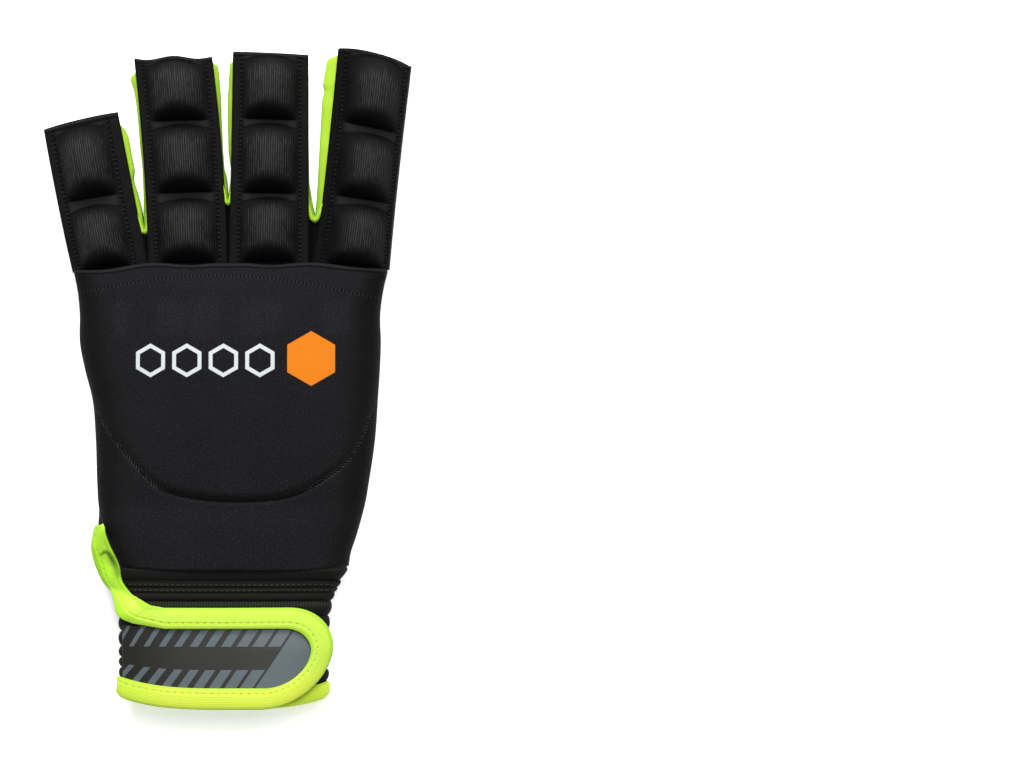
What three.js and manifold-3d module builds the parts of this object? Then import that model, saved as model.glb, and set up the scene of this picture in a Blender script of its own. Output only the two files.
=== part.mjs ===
// Field hockey glove for the left hand, lying palm down, in millimetres.
// +X points to the index finger side, +Y to the fingertips and +Z up, away from the palm.
// Every piece is a closed wall of cloth or foam, so the hand, the fingers and the wrist stay hollow.
import * as THREE from "three";
import { mergeVertices } from "three/addons/utils/BufferGeometryUtils.js";
import Module from "manifold-3d";

const wasm = await Module();
wasm.setup();

// Wall thicknesses and the seam gap between neighbouring pieces.
const SEAM = 0.3;
const PALM_WALL = 1.3;
const BACK_WALL = 2.6;
const STRIP_WALL = 1.5;
const SLIT_WALL = 0.6;
const GUSSET_WALL = 1.2;
const GUSSET_CLEAR = 0.25;
const GUSSET_TURN = 3.2;
const KNUCKLE_WALL = 1.0;
const CUFF_WALL = 2.2;
const BINDING_WALL = 1.1;

// The padded back of the hand.
const PAD_RISE = 1.9;
const PAD_CENTRE = { x: 4, y: 2 };
const PAD_HALF_WIDTH = 46.5;
const PAD_HALF_LENGTH = 41.3;
const PAD_POWER = 2.15;
const KNUCKLE_RISE = 0.9;
const PALM_CORNER = 9;

// Outline of the hand between the cuff and the crotches. The slit flares the palm outwards on its left.
const HAND = [
  { y: -60.2, left: -34.8, right: 38.8, top: 21.8, palmLeft: -38.9, seam: 9, power: 2.6, knuckleRow: 0 },
  { y: -55.7, left: -36.6, right: 39.8, top: 22.6, palmLeft: -41.2, seam: 9, power: 2.6, knuckleRow: 0 },
  { y: -51.0, left: -38.6, right: 41.4, top: 23.4, palmLeft: -41.6, seam: 9, power: 2.6, knuckleRow: 0 },
  { y: -46.5, left: -40.0, right: 42.7, top: 24.0, palmLeft: -40.2, seam: 9, power: 2.6, knuckleRow: 0 },
  { y: -40.0, left: -41.0, right: 44.4, top: 24.4, palmLeft: -41.0, seam: 9, power: 2.6, knuckleRow: 0 },
  { y: -33.0, left: -41.4, right: 45.6, top: 24.8, palmLeft: -41.4, seam: 9, power: 2.6, knuckleRow: 0 },
  { y: -20.0, left: -41.8, right: 47.5, top: 25.2, palmLeft: -41.8, seam: 9, power: 2.6, knuckleRow: 0.1 },
  { y: -6.0, left: -43.0, right: 48.5, top: 25.2, palmLeft: -43.0, seam: 9, power: 2.6, knuckleRow: 0.4 },
  { y: 3.0, left: -45.3, right: 49.1, top: 24.8, palmLeft: -45.3, seam: 9, power: 2.6, knuckleRow: 0.8 },
  { y: 11.5, left: -46.9, right: 49.4, top: 24.0, palmLeft: -46.9, seam: 9, power: 2.6, knuckleRow: 1 },
  { y: 20.5, left: -46.9, right: 49.2, top: 23.0, palmLeft: -46.9, seam: 9.4, power: 2.9, knuckleRow: 1 },
  { y: 28.0, left: -47.6, right: 50.2, top: 21.6, palmLeft: -47.6, seam: 9.8, power: 3.6, knuckleRow: 0.6 },
  { y: 34.0, left: -48.8, right: 51.6, top: 19.6, palmLeft: -48.8, seam: 10, power: 4.4, knuckleRow: 0 },
];

// The back panel's top hem follows the knuckles: how far each place lies from KNUCKLE_LINE.
const KNUCKLE_LINE = 33.5;
const KNUCKLE_HEM = [
  { x: -49, dy: -0.6 },
  { x: -38, dy: -0.8 },
  { x: -25, dy: 2.4 },
  { x: -10, dy: 1.7 },
  { x: 1, dy: 2.7 },
  { x: 15, dy: 1.7 },
  { x: 28, dy: 2.6 },
  { x: 40, dy: 0.4 },
  { x: 52, dy: -1.6 },
];

// Fingers from the little finger to the index finger. Each side edge of the back strip is given
// at its base, a third of the way up and at its tip. Insets say how much narrower the palm side is.
const BEND_AT = 0.33;
const FINGERS = [
  {
    name: "pinky", blocks: 2, insetLeft: 4.5, insetRight: 2.6, height: 15.0,
    left: { base: [-49.1, 33.6], bend: [-52.2, 48.0], tip: [-58.5, 79.5] },
    right: { base: [-24.9, 36.2], bend: [-27.9, 51.6], tip: [-34.6, 85.1] },
  },
  {
    name: "ring", blocks: 3, insetLeft: 3.2, insetRight: 2.2, height: 16.4,
    left: { base: [-24.6, 36.2], bend: [-25.5, 57.6], tip: [-29.4, 102.0] },
    right: { base: [0.6, 36.5], bend: [-0.2, 58.3], tip: [-4.4, 102.6] },
  },
  {
    name: "middle", blocks: 3, insetLeft: 2.8, insetRight: 2.4, height: 16.6,
    left: { base: [1.0, 36.5], bend: [1.5, 58.9], tip: [2.2, 104.3] },
    right: { base: [26.6, 36.5], bend: [26.5, 58.5], tip: [26.4, 103.2] },
  },
  {
    name: "index", blocks: 3, insetLeft: 1.4, insetRight: 6.2, height: 15.8,
    left: { base: [28.4, 36.2], bend: [31.1, 59.0], tip: [35.8, 105.4] },
    right: { base: [51.6, 34.6], bend: [53.6, 55.5], tip: [58.7, 99.8] },
  },
];

// Crotches between neighbouring fingers: how far up the back and the palm the gap reaches.
const CROTCHES = [
  { name: "pinky_ring", backY: 45.0, palmY: 51.6, bulge: 0.9 },
  { name: "ring_middle", backY: 54.4, palmY: 57.6, bulge: 0.8 },
  { name: "middle_index", backY: 49.0, palmY: 52.0, bulge: 1.6 },
];

// Foam blocks on each finger strip.
const BLOCK_RISE = 6.6;
const BLOCK_GAP = 1.8;
const BLOCK_MARGIN = 3.2;
const BLOCK_START = 0.6;
const TIP_HEM = 1.4;
const FINGER_DROOP = 2.6;
const EDGE_ROLL = 1.3;

// Round thumb opening in the palm and the folded band sewn around it.
const THUMB_CENTRE = { x: 15.9, y: -3.0 };
const THUMB_INNER = { x: 22.7, y: 24.5 };
const THUMB_OUTER = { x: 29.0, y: 31.8 };

// Ribbed cuff: its outline, its ribs and the rounded lower edge.
const CUFF = [
  { y: -60.5, left: -34.6, right: 38.0, top: 21.2 },
  { y: -65.0, left: -34.6, right: 36.6, top: 20.8 },
  { y: -69.5, left: -34.5, right: 34.6, top: 20.8 },
  { y: -74.0, left: -34.5, right: 33.6, top: 21.0 },
  { y: -80.0, left: -34.5, right: 33.0, top: 21.2 },
  { y: -106.0, left: -34.3, right: 33.0, top: 21.2 },
];
const CUFF_TOP = -60.5;
const CUFF_BOTTOM = -100.2;
const FINE_RIBS = 3;
const FINE_PITCH = 3.3;
const BROAD_RIBS = 6;
const RIB_DEPTH = 1.2;
const CUFF_POWER = 2.8;
const HEM_WIDTH = 5.2;
const HEM_RISE = 4.0;
const HEM_RISE_FROM = -84;

// Wrist strap over the back of the cuff, from the left side seam to its rounded end.
const STRAP_TOP = -73.4;
const STRAP_BOTTOM = -105.6;
const STRAP_WALL = 1.2;
const STRAP_PATCH_WALL = 0.8;
const STRAP_LIFT = 0.4;
const STRAP_END = { x: 17, reach: 17.2 };
const STRAP_RIGHT_SPREAD = 6;
const STRAP_BINDING_WIDTH = 6.0;

// Binding of the side slit, from its apex down to the strap: outer edge, then inner edge.
const STRAP_BINDING_START = -19;
const SLIT_BINDING = [
  { out: [-41.0, -46.7, 11.9], in: [-39.4, -46.9, 15.6] },
  { out: [-42.4, -50.6, 11.0], in: [-38.0, -49.9, 16.0] },
  { out: [-43.0, -54.4, 10.8], in: [-36.6, -53.8, 15.6] },
  { out: [-42.0, -58.9, 10.8], in: [-34.6, -59.5, 15.0] },
  { out: [-39.2, -63.9, 11.2], in: [-32.8, -64.6, 17.2] },
  { out: [-36.6, -67.5, 13.0], in: [-30.6, -67.8, 18.6] },
  { out: [-35.2, -70.9, 16.8], in: [-28.0, -70.4, 20.2] },
  { out: [-33.6, -75.6, 20.0], in: [-24.5, -72.2, 22.2] },
  { out: [-29.0, -77.8, 21.4], in: [-22.0, -72.8, 22.9] },
];

const lerp = THREE.MathUtils.lerp;
const clamp = THREE.MathUtils.clamp;
const smoothstep = THREE.MathUtils.smoothstep;
const superRoot = (value, power) => Math.sign(value) * Math.abs(value) ** (2 / power);

// Reads one named column of a table at a station, straight between its rows.
function column(table, key, name, at) {
  const rising = table[table.length - 1][key] > table[0][key];
  const rows = rising ? table : [...table].reverse();
  if (at <= rows[0][key]) return rows[0][name];
  for (let i = 1; i < rows.length; i += 1) {
    if (at <= rows[i][key]) {
      const share = (at - rows[i - 1][key]) / (rows[i][key] - rows[i - 1][key]);
      return lerp(rows[i - 1][name], rows[i][name], share);
    }
  }
  return rows[rows.length - 1][name];
}

// Builds a geometry from two matching grids of points, closed round every free edge.
// keep(i, j) says which cells exist.
function closedWall(outer, inner, keep = () => true) {
  const rows = outer.length;
  const columns = outer[0].length;
  const points = [];
  for (const grid of [outer, inner]) {
    for (const row of grid) {
      for (const point of row) points.push(point.x, point.y, point.z);
    }
  }
  const top = (i, j) => i * columns + j;
  const under = (i, j) => rows * columns + top(i, j);
  const exists = (i, j) => i >= 0 && i < rows - 1 && j >= 0 && j < columns - 1 && keep(i, j);
  const faces = [];
  const quad = (a, b, c, d) => faces.push(a, b, c, a, c, d);
  for (let i = 0; i < rows - 1; i += 1) {
    for (let j = 0; j < columns - 1; j += 1) {
      if (!exists(i, j)) continue;
      quad(top(i, j), top(i, j + 1), top(i + 1, j + 1), top(i + 1, j));
      quad(under(i, j), under(i + 1, j), under(i + 1, j + 1), under(i, j + 1));
      if (!exists(i - 1, j)) quad(top(i, j), under(i, j), under(i, j + 1), top(i, j + 1));
      if (!exists(i + 1, j)) {
        quad(top(i + 1, j), top(i + 1, j + 1), under(i + 1, j + 1), under(i + 1, j));
      }
      if (!exists(i, j - 1)) quad(top(i, j), top(i + 1, j), under(i + 1, j), under(i, j));
      if (!exists(i, j + 1)) {
        quad(top(i, j + 1), under(i, j + 1), under(i + 1, j + 1), top(i + 1, j + 1));
      }
    }
  }
  return outwards(faces, points);
}

// Makes the geometry and turns its faces outwards if its signed volume is negative.
function outwards(faces, points) {
  let volume = 0;
  const corner = (index) => new THREE.Vector3().fromArray(points, index * 3);
  for (let i = 0; i < faces.length; i += 3) {
    const [a, b, c] = [corner(faces[i]), corner(faces[i + 1]), corner(faces[i + 2])];
    volume += a.dot(b.cross(c));
  }
  const turned = [];
  for (let i = 0; i < faces.length; i += 3) {
    if (volume < 0) turned.push(faces[i], faces[i + 2], faces[i + 1]);
    else turned.push(faces[i], faces[i + 1], faces[i + 2]);
  }
  const geometry = new THREE.BufferGeometry();
  geometry.setAttribute("position", new THREE.Float32BufferAttribute(points, 3));
  geometry.setIndex(turned);
  geometry.computeVertexNormals();
  return geometry;
}

// Moves each point of a grid along its own normal. A positive distance moves it to the side that
// the columns-then-rows right-hand rule gives.
function offsetGrid(grid, distance) {
  const rows = grid.length;
  const columns = grid[0].length;
  return grid.map((row, i) =>
    row.map((point, j) => {
      const across = row[Math.min(j + 1, columns - 1)].clone().sub(row[Math.max(j - 1, 0)]);
      const along = grid[Math.min(i + 1, rows - 1)][j].clone().sub(grid[Math.max(i - 1, 0)][j]);
      const normal = across.cross(along).normalize();
      const step = typeof distance === "function" ? distance(i) : distance;
      return point.clone().addScaledVector(normal, step);
    }),
  );
}

function gridOf(rowValues, columnValues, place) {
  return rowValues.map((r, i) => columnValues.map((c, j) => place(r, c, i, j)));
}

function raised(point, height) {
  return new THREE.Vector3(point.x, point.y, point.z + height);
}

function steps(count, from = 0, to = 1) {
  return Array.from({ length: count + 1 }, (_, i) => lerp(from, to, i / count));
}

function solidOf(geometry) {
  const bare = geometry.clone();
  bare.deleteAttribute("normal");
  bare.deleteAttribute("uv");
  const merged = mergeVertices(bare, 1e-4);
  return new wasm.Manifold(
    new wasm.Mesh({
      numProp: 3,
      vertProperties: new Float32Array(merged.attributes.position.array),
      triVerts: new Uint32Array(merged.index.array),
    }),
  );
}

function geometryOf(solid) {
  const mesh = solid.getMesh();
  const geometry = new THREE.BufferGeometry();
  geometry.setAttribute("position", new THREE.BufferAttribute(mesh.vertProperties, 3));
  geometry.setIndex(new THREE.BufferAttribute(mesh.triVerts, 1));
  geometry.computeVertexNormals();
  return geometry;
}

function padRise(x, y) {
  const side = Math.abs(x - PAD_CENTRE.x) / PAD_HALF_WIDTH;
  const down = Math.max(PAD_CENTRE.y - y, 0) / PAD_HALF_LENGTH;
  const reach = (side ** PAD_POWER + down ** PAD_POWER) ** (1 / PAD_POWER);
  const pad = PAD_RISE * (1 - smoothstep(reach, 0.88, 1.02)) * (1 - smoothstep(y, 12, KNUCKLE_LINE));
  const knuckles = 0.5 - 0.5 * Math.cos(((x + 49) / 25) * 2 * Math.PI);
  return pad + KNUCKLE_RISE * knuckles * column(HAND, "y", "knuckleRow", y) * (1 - side ** 4);
}

// Back of the hand: one padded panel from side seam to side seam and from cuff to knuckles.
function backPanel() {
  const angles = steps(16, Math.PI, 0);
  const rows = [-60.2, -55.7, -51, -46.5, -41, -37.5, -33.5, -27, -20, -12, -4, 4, 11.5, 19, 26, 31, 34];
  const outer = gridOf(rows, angles, (rowY, angle) => {
    const towardsKnuckles = smoothstep(rowY, 11.5, 34);
    const left = column(HAND, "y", "left", rowY);
    const right = column(HAND, "y", "right", rowY);
    const power = column(HAND, "y", "power", rowY);
    const seam = column(HAND, "y", "seam", rowY) + SEAM;
    const x = (left + right) / 2 + ((right - left) / 2) * superRoot(Math.cos(angle), power);
    const y = rowY + column(KNUCKLE_HEM, "x", "dy", x) * towardsKnuckles;
    const rise = (column(HAND, "y", "top", rowY) - seam) * superRoot(Math.sin(angle), power);
    const fade = Math.sin(angle) ** 0.5;
    return new THREE.Vector3(x, y, seam + rise + padRise(x, y) * fade);
  });
  const inner = offsetGrid(outer, -BACK_WALL);
  inner.forEach((row, i) => {
    for (const j of [0, row.length - 1]) row[j].z = outer[i][j].z;
    for (const point of row) point.y = clamp(point.y, outer[0][0].y, 40);
  });
  inner[inner.length - 1].forEach((point, j) => {
    point.y = outer[outer.length - 1][j].y;
  });
  return closedWall(outer, inner);
}

// One side edge of a finger's back strip, bowed through its bend.
function edgeAt(edge, share) {
  const [b, k] = [share, BEND_AT];
  const base = ((b - k) * (b - 1)) / k;
  const bend = (b * (b - 1)) / (k * (k - 1));
  const tip = (b * (b - k)) / (1 - k);
  return [0, 1].map((axis) => edge.base[axis] * base + edge.bend[axis] * bend + edge.tip[axis] * tip);
}

function stripPoint(finger, share, across, height) {
  const left = edgeAt(finger.left, share);
  const right = edgeAt(finger.right, share);
  return new THREE.Vector3(lerp(left[0], right[0], across), lerp(left[1], right[1], across), height);
}

// Height of the strip's top face: fingers droop a little to their tips, and the two outermost
// strips roll down at their outer edges, most where they meet the hand.
function stripHeight(finger, share, across = 0.5) {
  let outerEdge = 0;
  if (finger.name === "pinky") outerEdge = 1 - across;
  if (finger.name === "index") outerEdge = across;
  const roll = EDGE_ROLL * (1 + 1.4 * (1 - smoothstep(share, 0, 0.3))) * outerEdge ** 6;
  return finger.height - FINGER_DROOP * Math.max(share, 0) ** 2 - roll;
}

function shareAtY(edge, y) {
  let low = -0.2;
  let high = 1;
  for (let i = 0; i < 40; i += 1) {
    const middle = (low + high) / 2;
    if (edgeAt(edge, middle)[1] < y) low = middle;
    else high = middle;
  }
  return (low + high) / 2;
}

// Profile of one foam block from end to end, and from side to side.
const BLOCK_ALONG = [
  { at: 0, rise: 0 },
  { at: 0.04, rise: 0.5 },
  { at: 0.16, rise: 0.86 },
  { at: 0.45, rise: 1 },
  { at: 0.75, rise: 0.9 },
  { at: 0.93, rise: 0.55 },
  { at: 1, rise: 0 },
];
const BLOCK_ACROSS = [
  { at: 0, rise: 0 },
  { at: 0.07, rise: 0.6 },
  { at: 0.26, rise: 0.93 },
  { at: 0.5, rise: 1 },
  { at: 0.74, rise: 0.93 },
  { at: 0.93, rise: 0.6 },
  { at: 1, rise: 0 },
];

// Outer side of the index strip, which wraps down under the finger: distance out and height.
const INDEX_WRAP = [
  { out: 0.5, height: 0.72 },
  { out: 0.3, height: 0.36 },
  { out: -1.3, height: 0.11 },
  { out: -3.4, height: 0 },
  { out: -5.9, height: 0 },
];

// Back strip of a finger with its row of domed foam blocks.
function fingerStrip(finger) {
  const length = Math.hypot(
    finger.left.tip[0] - finger.left.base[0],
    finger.left.tip[1] - finger.left.base[1],
  );
  const width = Math.hypot(
    finger.right.base[0] - finger.left.base[0],
    finger.right.base[1] - finger.left.base[1],
  );
  const blockLength = (length - BLOCK_START - TIP_HEM - BLOCK_GAP * (finger.blocks - 1)) / finger.blocks;
  const rows = [{ share: 0, rise: 0 }];
  for (let block = 0; block < finger.blocks; block += 1) {
    const start = BLOCK_START + block * (blockLength + BLOCK_GAP);
    for (const { at, rise } of BLOCK_ALONG) rows.push({ share: (start + at * blockLength) / length, rise });
  }
  rows.push({ share: 1, rise: 0 });
  const margin = BLOCK_MARGIN / width;
  const columns = [{ across: 0, rise: 0 }];
  for (const { at, rise } of BLOCK_ACROSS) columns.push({ across: lerp(margin, 1 - margin, at), rise });
  columns.push({ across: 1, rise: 0 });
  const flat = gridOf(rows, columns, (row, col) =>
    stripPoint(finger, row.share, col.across, stripHeight(finger, row.share, col.across)),
  );
  const outer = flat.map((line, i) =>
    line.map((point, j) => raised(point, BLOCK_RISE * rows[i].rise * columns[j].rise)),
  );
  const inner = flat.map((line) => line.map((point) => raised(point, -STRIP_WALL)));
  if (finger.name === "index") addIndexWrap(finger, rows, outer, inner);
  return closedWall(outer, inner);
}

function addIndexWrap(finger, rows, outer, inner) {
  rows.forEach((row, i) => {
    const height = stripHeight(finger, row.share, 1);
    const [x, y] = edgeAt(finger.right, row.share);
    const middle = height / 2;
    inner[i][inner[i].length - 1].x -= STRIP_WALL;
    for (const station of INDEX_WRAP) {
      const z = station.height * height;
      outer[i].push(new THREE.Vector3(x + station.out, y, z));
      const inwards = station.height < 0.2 ? 0 : STRIP_WALL;
      const lift = station.height < 0.2 ? STRIP_WALL * 0.9 : Math.sign(middle - z) * 0.3;
      inner[i].push(new THREE.Vector3(x + Math.min(station.out, 0.3) - inwards, y, z + lift));
    }
  });
}

// Edge of a finger's palm side: the strip's edge moved inwards.
function palmEdge(finger, side, share) {
  const [x, y] = edgeAt(finger[side], share);
  const inset = side === "left" ? finger.insetLeft : -finger.insetRight;
  return [x + inset, y];
}

// Palm: flat where it rests, wrapped up at both sides, with four finger strips and a thumb opening.
function palmPanel() {
  const wallAngles = steps(4, 0, Math.PI / 2);
  const perFinger = 3;
  const handRows = [-60.2, -55.7, -51, -46.5, -40, -33, -20, -6, 3, 11.5, 20.5, 28, 34];
  const fingerRows = steps(7);
  const columnsOf = [];
  wallAngles.slice(0, -1).forEach((angle) => columnsOf.push({ kind: "leftWall", angle }));
  FINGERS.forEach((finger, f) => {
    for (let k = 0; k <= perFinger; k += 1) columnsOf.push({ kind: "finger", f, k, share: k / perFinger });
  });
  [...wallAngles].reverse().slice(1).forEach((angle) => columnsOf.push({ kind: "rightWall", angle }));
  const firstFinger = FINGERS[0];
  const lastFinger = FINGERS[FINGERS.length - 1];
  const flatFrom = palmEdge(firstFinger, "left", 0.1)[0];
  const flatTo = palmEdge(lastFinger, "right", 0.1)[0];
  const crotchShare = (f, side) => {
    const crotch = side === "left" ? CROTCHES[f - 1] : CROTCHES[f];
    const known = crotch ?? (side === "left" ? CROTCHES[f] : CROTCHES[f - 1]);
    return shareAtY(FINGERS[f][side], known.palmY - 1.2);
  };
  const fingerPoint = (col, along) => {
    const finger = FINGERS[col.f];
    const start = lerp(crotchShare(col.f, "left"), crotchShare(col.f, "right"), col.share);
    const share = lerp(start, 1, along);
    const left = palmEdge(finger, "left", share);
    const right = palmEdge(finger, "right", share);
    return new THREE.Vector3(lerp(left[0], right[0], col.share), lerp(left[1], right[1], col.share), 0);
  };
  const handPoint = (col, y) => {
    const left = column(HAND, "y", "palmLeft", y);
    const right = column(HAND, "y", "right", y);
    const towardsFingers = smoothstep(y, 11.5, 34);
    const cornerLeft = lerp(PALM_CORNER, firstFinger.insetLeft, towardsFingers);
    const cornerRight = lerp(PALM_CORNER, lastFinger.insetRight, towardsFingers);
    const seam = column(HAND, "y", "seam", y);
    if (col.kind === "leftWall") {
      const x = left + cornerLeft * (1 - Math.cos(col.angle));
      return new THREE.Vector3(x, y, seam * (1 - Math.sin(col.angle)));
    }
    if (col.kind === "rightWall") {
      const x = right - cornerRight * (1 - Math.cos(col.angle));
      return new THREE.Vector3(x, y, seam * (1 - Math.sin(col.angle)));
    }
    const atKnuckles = fingerPoint(col, 0);
    const across = (atKnuckles.x - flatFrom) / (flatTo - flatFrom);
    return new THREE.Vector3(lerp(left + cornerLeft, right - cornerRight, clamp(across, 0, 1)), y, 0);
  };
  const outer = handRows.map((y) => columnsOf.map((col) => handPoint(col, y)));
  for (const along of fingerRows) {
    outer.push(
      columnsOf.map((col) => {
        if (col.kind === "finger") return fingerPoint(col, along);
        if (col.kind === "rightWall") return fingerPoint({ f: 3, share: 1 }, along);
        const share = lerp(crotchShare(0, "left"), 1, along);
        const [x, y] = edgeAt(firstFinger.left, share);
        const wallTop = stripHeight(firstFinger, share, 0) - STRIP_WALL - SEAM;
        const out = firstFinger.insetLeft * (1 - Math.cos(col.angle));
        return new THREE.Vector3(x + out, y, wallTop * (1 - Math.sin(col.angle)));
      }),
    );
  }
  const keep = (i, j) => {
    if (i < handRows.length - 1) return true;
    const [a, b] = [columnsOf[j], columnsOf[j + 1]];
    if (b.kind === "rightWall") return false;
    const crotchCell = a.kind === "finger" && b.kind === "finger" && a.f !== b.f;
    return !(crotchCell && i >= handRows.length);
  };
  const turnedIn = offsetGrid(outer, PALM_WALL);
  const inner = outer.map((row, i) =>
    row.map((point, j) => {
      const { kind } = columnsOf[j];
      const isWall = kind === "leftWall" || (kind === "rightWall" && i < handRows.length);
      return isWall ? turnedIn[i][j] : raised(point, PALM_WALL);
    }),
  );
  const panel = closedWall(outer, inner, keep);
  return geometryOf(solidOf(panel).subtract(thumbCutter()));
}

function thumbCutter() {
  const outline = new THREE.Shape();
  const reach = { x: THUMB_OUTER.x + SEAM, y: THUMB_OUTER.y + SEAM };
  outline.absellipse(THUMB_CENTRE.x, THUMB_CENTRE.y, reach.x, reach.y, 0, Math.PI * 2);
  const geometry = new THREE.ExtrudeGeometry(outline, { depth: 12, bevelEnabled: false, curveSegments: 36 });
  return solidOf(geometry.translate(0, 0, -6));
}

// Folded band round the thumb opening: flat where it is sewn on, rounded at the opening.
const THUMB_BAND = [
  { share: 1, height: 0 },
  { share: 0.25, height: 0 },
  { share: 0, height: 0.7 },
  { share: 0.02, height: 1.5 },
  { share: 0.25, height: 2.1 },
  { share: 0.8, height: 1.9 },
  { share: 1, height: 1.5 },
];

function thumbBand() {
  const angles = steps(35, 0, (35 / 36) * 2 * Math.PI);
  const ring = (share, angle, height) => {
    const reach = {
      x: lerp(THUMB_INNER.x, THUMB_OUTER.x, share),
      y: lerp(THUMB_INNER.y, THUMB_OUTER.y, share),
    };
    const x = THUMB_CENTRE.x + reach.x * Math.cos(angle);
    return new THREE.Vector3(x, THUMB_CENTRE.y + reach.y * Math.sin(angle), height);
  };
  return ringBody(angles, THUMB_BAND, (angle, point) => ring(point.share, angle, point.height));
}

// A closed profile carried round a closed path.
function ringBody(stations, profile, place) {
  const points = [];
  const faces = [];
  for (const station of stations) {
    for (const point of profile) points.push(...place(station, point).toArray());
  }
  const size = profile.length;
  stations.forEach((_, i) => {
    const next = (i + 1) % stations.length;
    for (let j = 0; j < size; j += 1) {
      const k = (j + 1) % size;
      faces.push(i * size + j, i * size + k, next * size + k);
      faces.push(i * size + j, next * size + k, next * size + j);
    }
  });
  return outwards(faces, points);
}

// How far a gusset bulges at each level between the palm and the back.
const GUSSET_LEVELS = [
  { share: 0, out: 0 },
  { share: 0.2, out: 0.55 },
  { share: 0.5, out: 1 },
  { share: 0.8, out: 0.8 },
  { share: 1, out: 0 },
];

// Stretch gusset between two fingers: down one finger, round the crotch and up the other.
function gusset(left, right, crotch) {
  const turn = [0, 30, 60, 90].map((degrees) => THREE.MathUtils.degToRad(degrees));
  const along = [];
  [1, 0.75, 0.5, 0.25].forEach((reach) => along.push({ side: "left", reach, turn: 1 }));
  [...turn].reverse().slice(0, -1).forEach((angle) => {
    along.push({ side: "left", reach: 0, turn: Math.sin(angle), angle });
  });
  along.push({ side: "left", reach: 0, turn: 0, angle: 0 });
  turn.slice(1).forEach((angle) => along.push({ side: "right", reach: 0, turn: Math.sin(angle), angle }));
  [0.25, 0.5, 0.75, 1].forEach((reach) => along.push({ side: "right", reach, turn: 1 }));
  const outer = gridOf(along, GUSSET_LEVELS, (station, level) => {
    const low = lerp(crotch.palmY, crotch.backY + 1.6, level.share);
    const finger = station.side === "left" ? left : right;
    const edge = station.side === "left" ? "right" : "left";
    const inwards = station.side === "left" ? -1 : 1;
    const inset = station.side === "left" ? left.insetRight : right.insetLeft;
    const y = station.angle === undefined
      ? lerp(low + GUSSET_TURN, Math.min(left.right.tip[1], right.left.tip[1]) - 0.5, station.reach)
      : low + GUSSET_TURN * (1 - Math.cos(station.angle));
    const share = station.reach === 1 ? 0.995 : shareAtY(finger[edge], y);
    const [x, tipY] = edgeAt(finger[edge], share);
    const bulge = crotch.bulge * level.out + GUSSET_WALL;
    const shift = inwards * (lerp(inset - SEAM * 2, 0.2, level.share ** 0.7) - bulge);
    const sides = [[left, "right"], [right, "left"]];
    const [leftX, rightX] = sides.map(([near, side]) => edgeAt(near[side], shareAtY(near[side], y))[0]);
    const centre = (leftX + rightX) / 2;
    const reachX = station.side === "left"
      ? Math.min(x + shift, centre - GUSSET_CLEAR)
      : Math.max(x + shift, centre + GUSSET_CLEAR);
    const lower = Math.min(stripHeight(left, share), stripHeight(right, share));
    const own = station.reach > 0 ? stripHeight(finger, share) : lower;
    const top = own - STRIP_WALL - SEAM;
    const z = lerp(PALM_WALL + SEAM, top, level.share);
    return new THREE.Vector3(lerp(centre, reachX, station.turn), station.reach === 1 ? tipY : y, z);
  });
  const inner = offsetGrid(outer, -GUSSET_WALL);
  inner.flat().forEach((point) => {
    point.z = Math.max(point.z, PALM_WALL + SEAM);
  });
  return closedWall(outer, inner);
}

// Half sizes and centre of the cuff at a height along the wrist.
function cuffSection(y) {
  const left = column(CUFF, "y", "left", y);
  const right = column(CUFF, "y", "right", y);
  const top = column(CUFF, "y", "top", y);
  return { x: (left + right) / 2, a: (right - left) / 2, b: top / 2 };
}

// The lower edge of the wrist is rounded: it rises towards both sides.
function hemLift(x, y) {
  const share = clamp(Math.abs(x) / 34, 0, 1) ** 3;
  return HEM_RISE * share * smoothstep(-y, -HEM_RISE_FROM, -CUFF_BOTTOM);
}

function cuffPoint(angle, y, out) {
  const section = cuffSection(y);
  const x = section.x + (section.a + out) * superRoot(Math.cos(angle), CUFF_POWER);
  const z = section.b + (section.b + out) * superRoot(Math.sin(angle), CUFF_POWER);
  return new THREE.Vector3(x, y + hemLift(x, y), z);
}

// Ribbed knit cuff: a few fine stitched ribs, then broad ones.
function cuff() {
  const profile = [];
  let y = CUFF_TOP;
  const fineEnd = CUFF_TOP - FINE_RIBS * FINE_PITCH;
  const broadPitch = (fineEnd - CUFF_BOTTOM) / BROAD_RIBS;
  const pitches = [...Array(FINE_RIBS).fill(FINE_PITCH), ...Array(BROAD_RIBS).fill(broadPitch)];
  for (const pitch of pitches) {
    profile.push({ y, out: -RIB_DEPTH });
    profile.push({ y: y - pitch * 0.22, out: -RIB_DEPTH * 0.2 });
    profile.push({ y: y - pitch * 0.5, out: 0 });
    profile.push({ y: y - pitch * 0.78, out: -RIB_DEPTH * 0.2 });
    y -= pitch;
  }
  profile.push({ y: CUFF_BOTTOM, out: -RIB_DEPTH });
  for (const innerY of [CUFF_BOTTOM, -92, -80, -69.5, CUFF_TOP]) {
    profile.push({ y: innerY, out: -RIB_DEPTH - CUFF_WALL });
  }
  const angles = steps(27, 0, (27 / 28) * 2 * Math.PI);
  return ringBody(angles, profile, (angle, point) => cuffPoint(angle, point.y, point.out));
}

// Bright binding folded over the lower edge of the cuff.
function cuffHem() {
  const top = CUFF_BOTTOM - SEAM;
  const profile = [
    { y: top, out: 0 },
    { y: top - HEM_WIDTH * 0.75, out: -0.1 },
    { y: top - HEM_WIDTH, out: -1.1 },
    { y: top - HEM_WIDTH, out: -2.3 },
    { y: top - HEM_WIDTH * 0.75, out: -3.3 },
    { y: top, out: -3.4 },
  ];
  const angles = steps(27, 0, (27 / 28) * 2 * Math.PI);
  return ringBody(angles, profile, (angle, point) => cuffPoint(angle, point.y, point.out));
}

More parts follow.
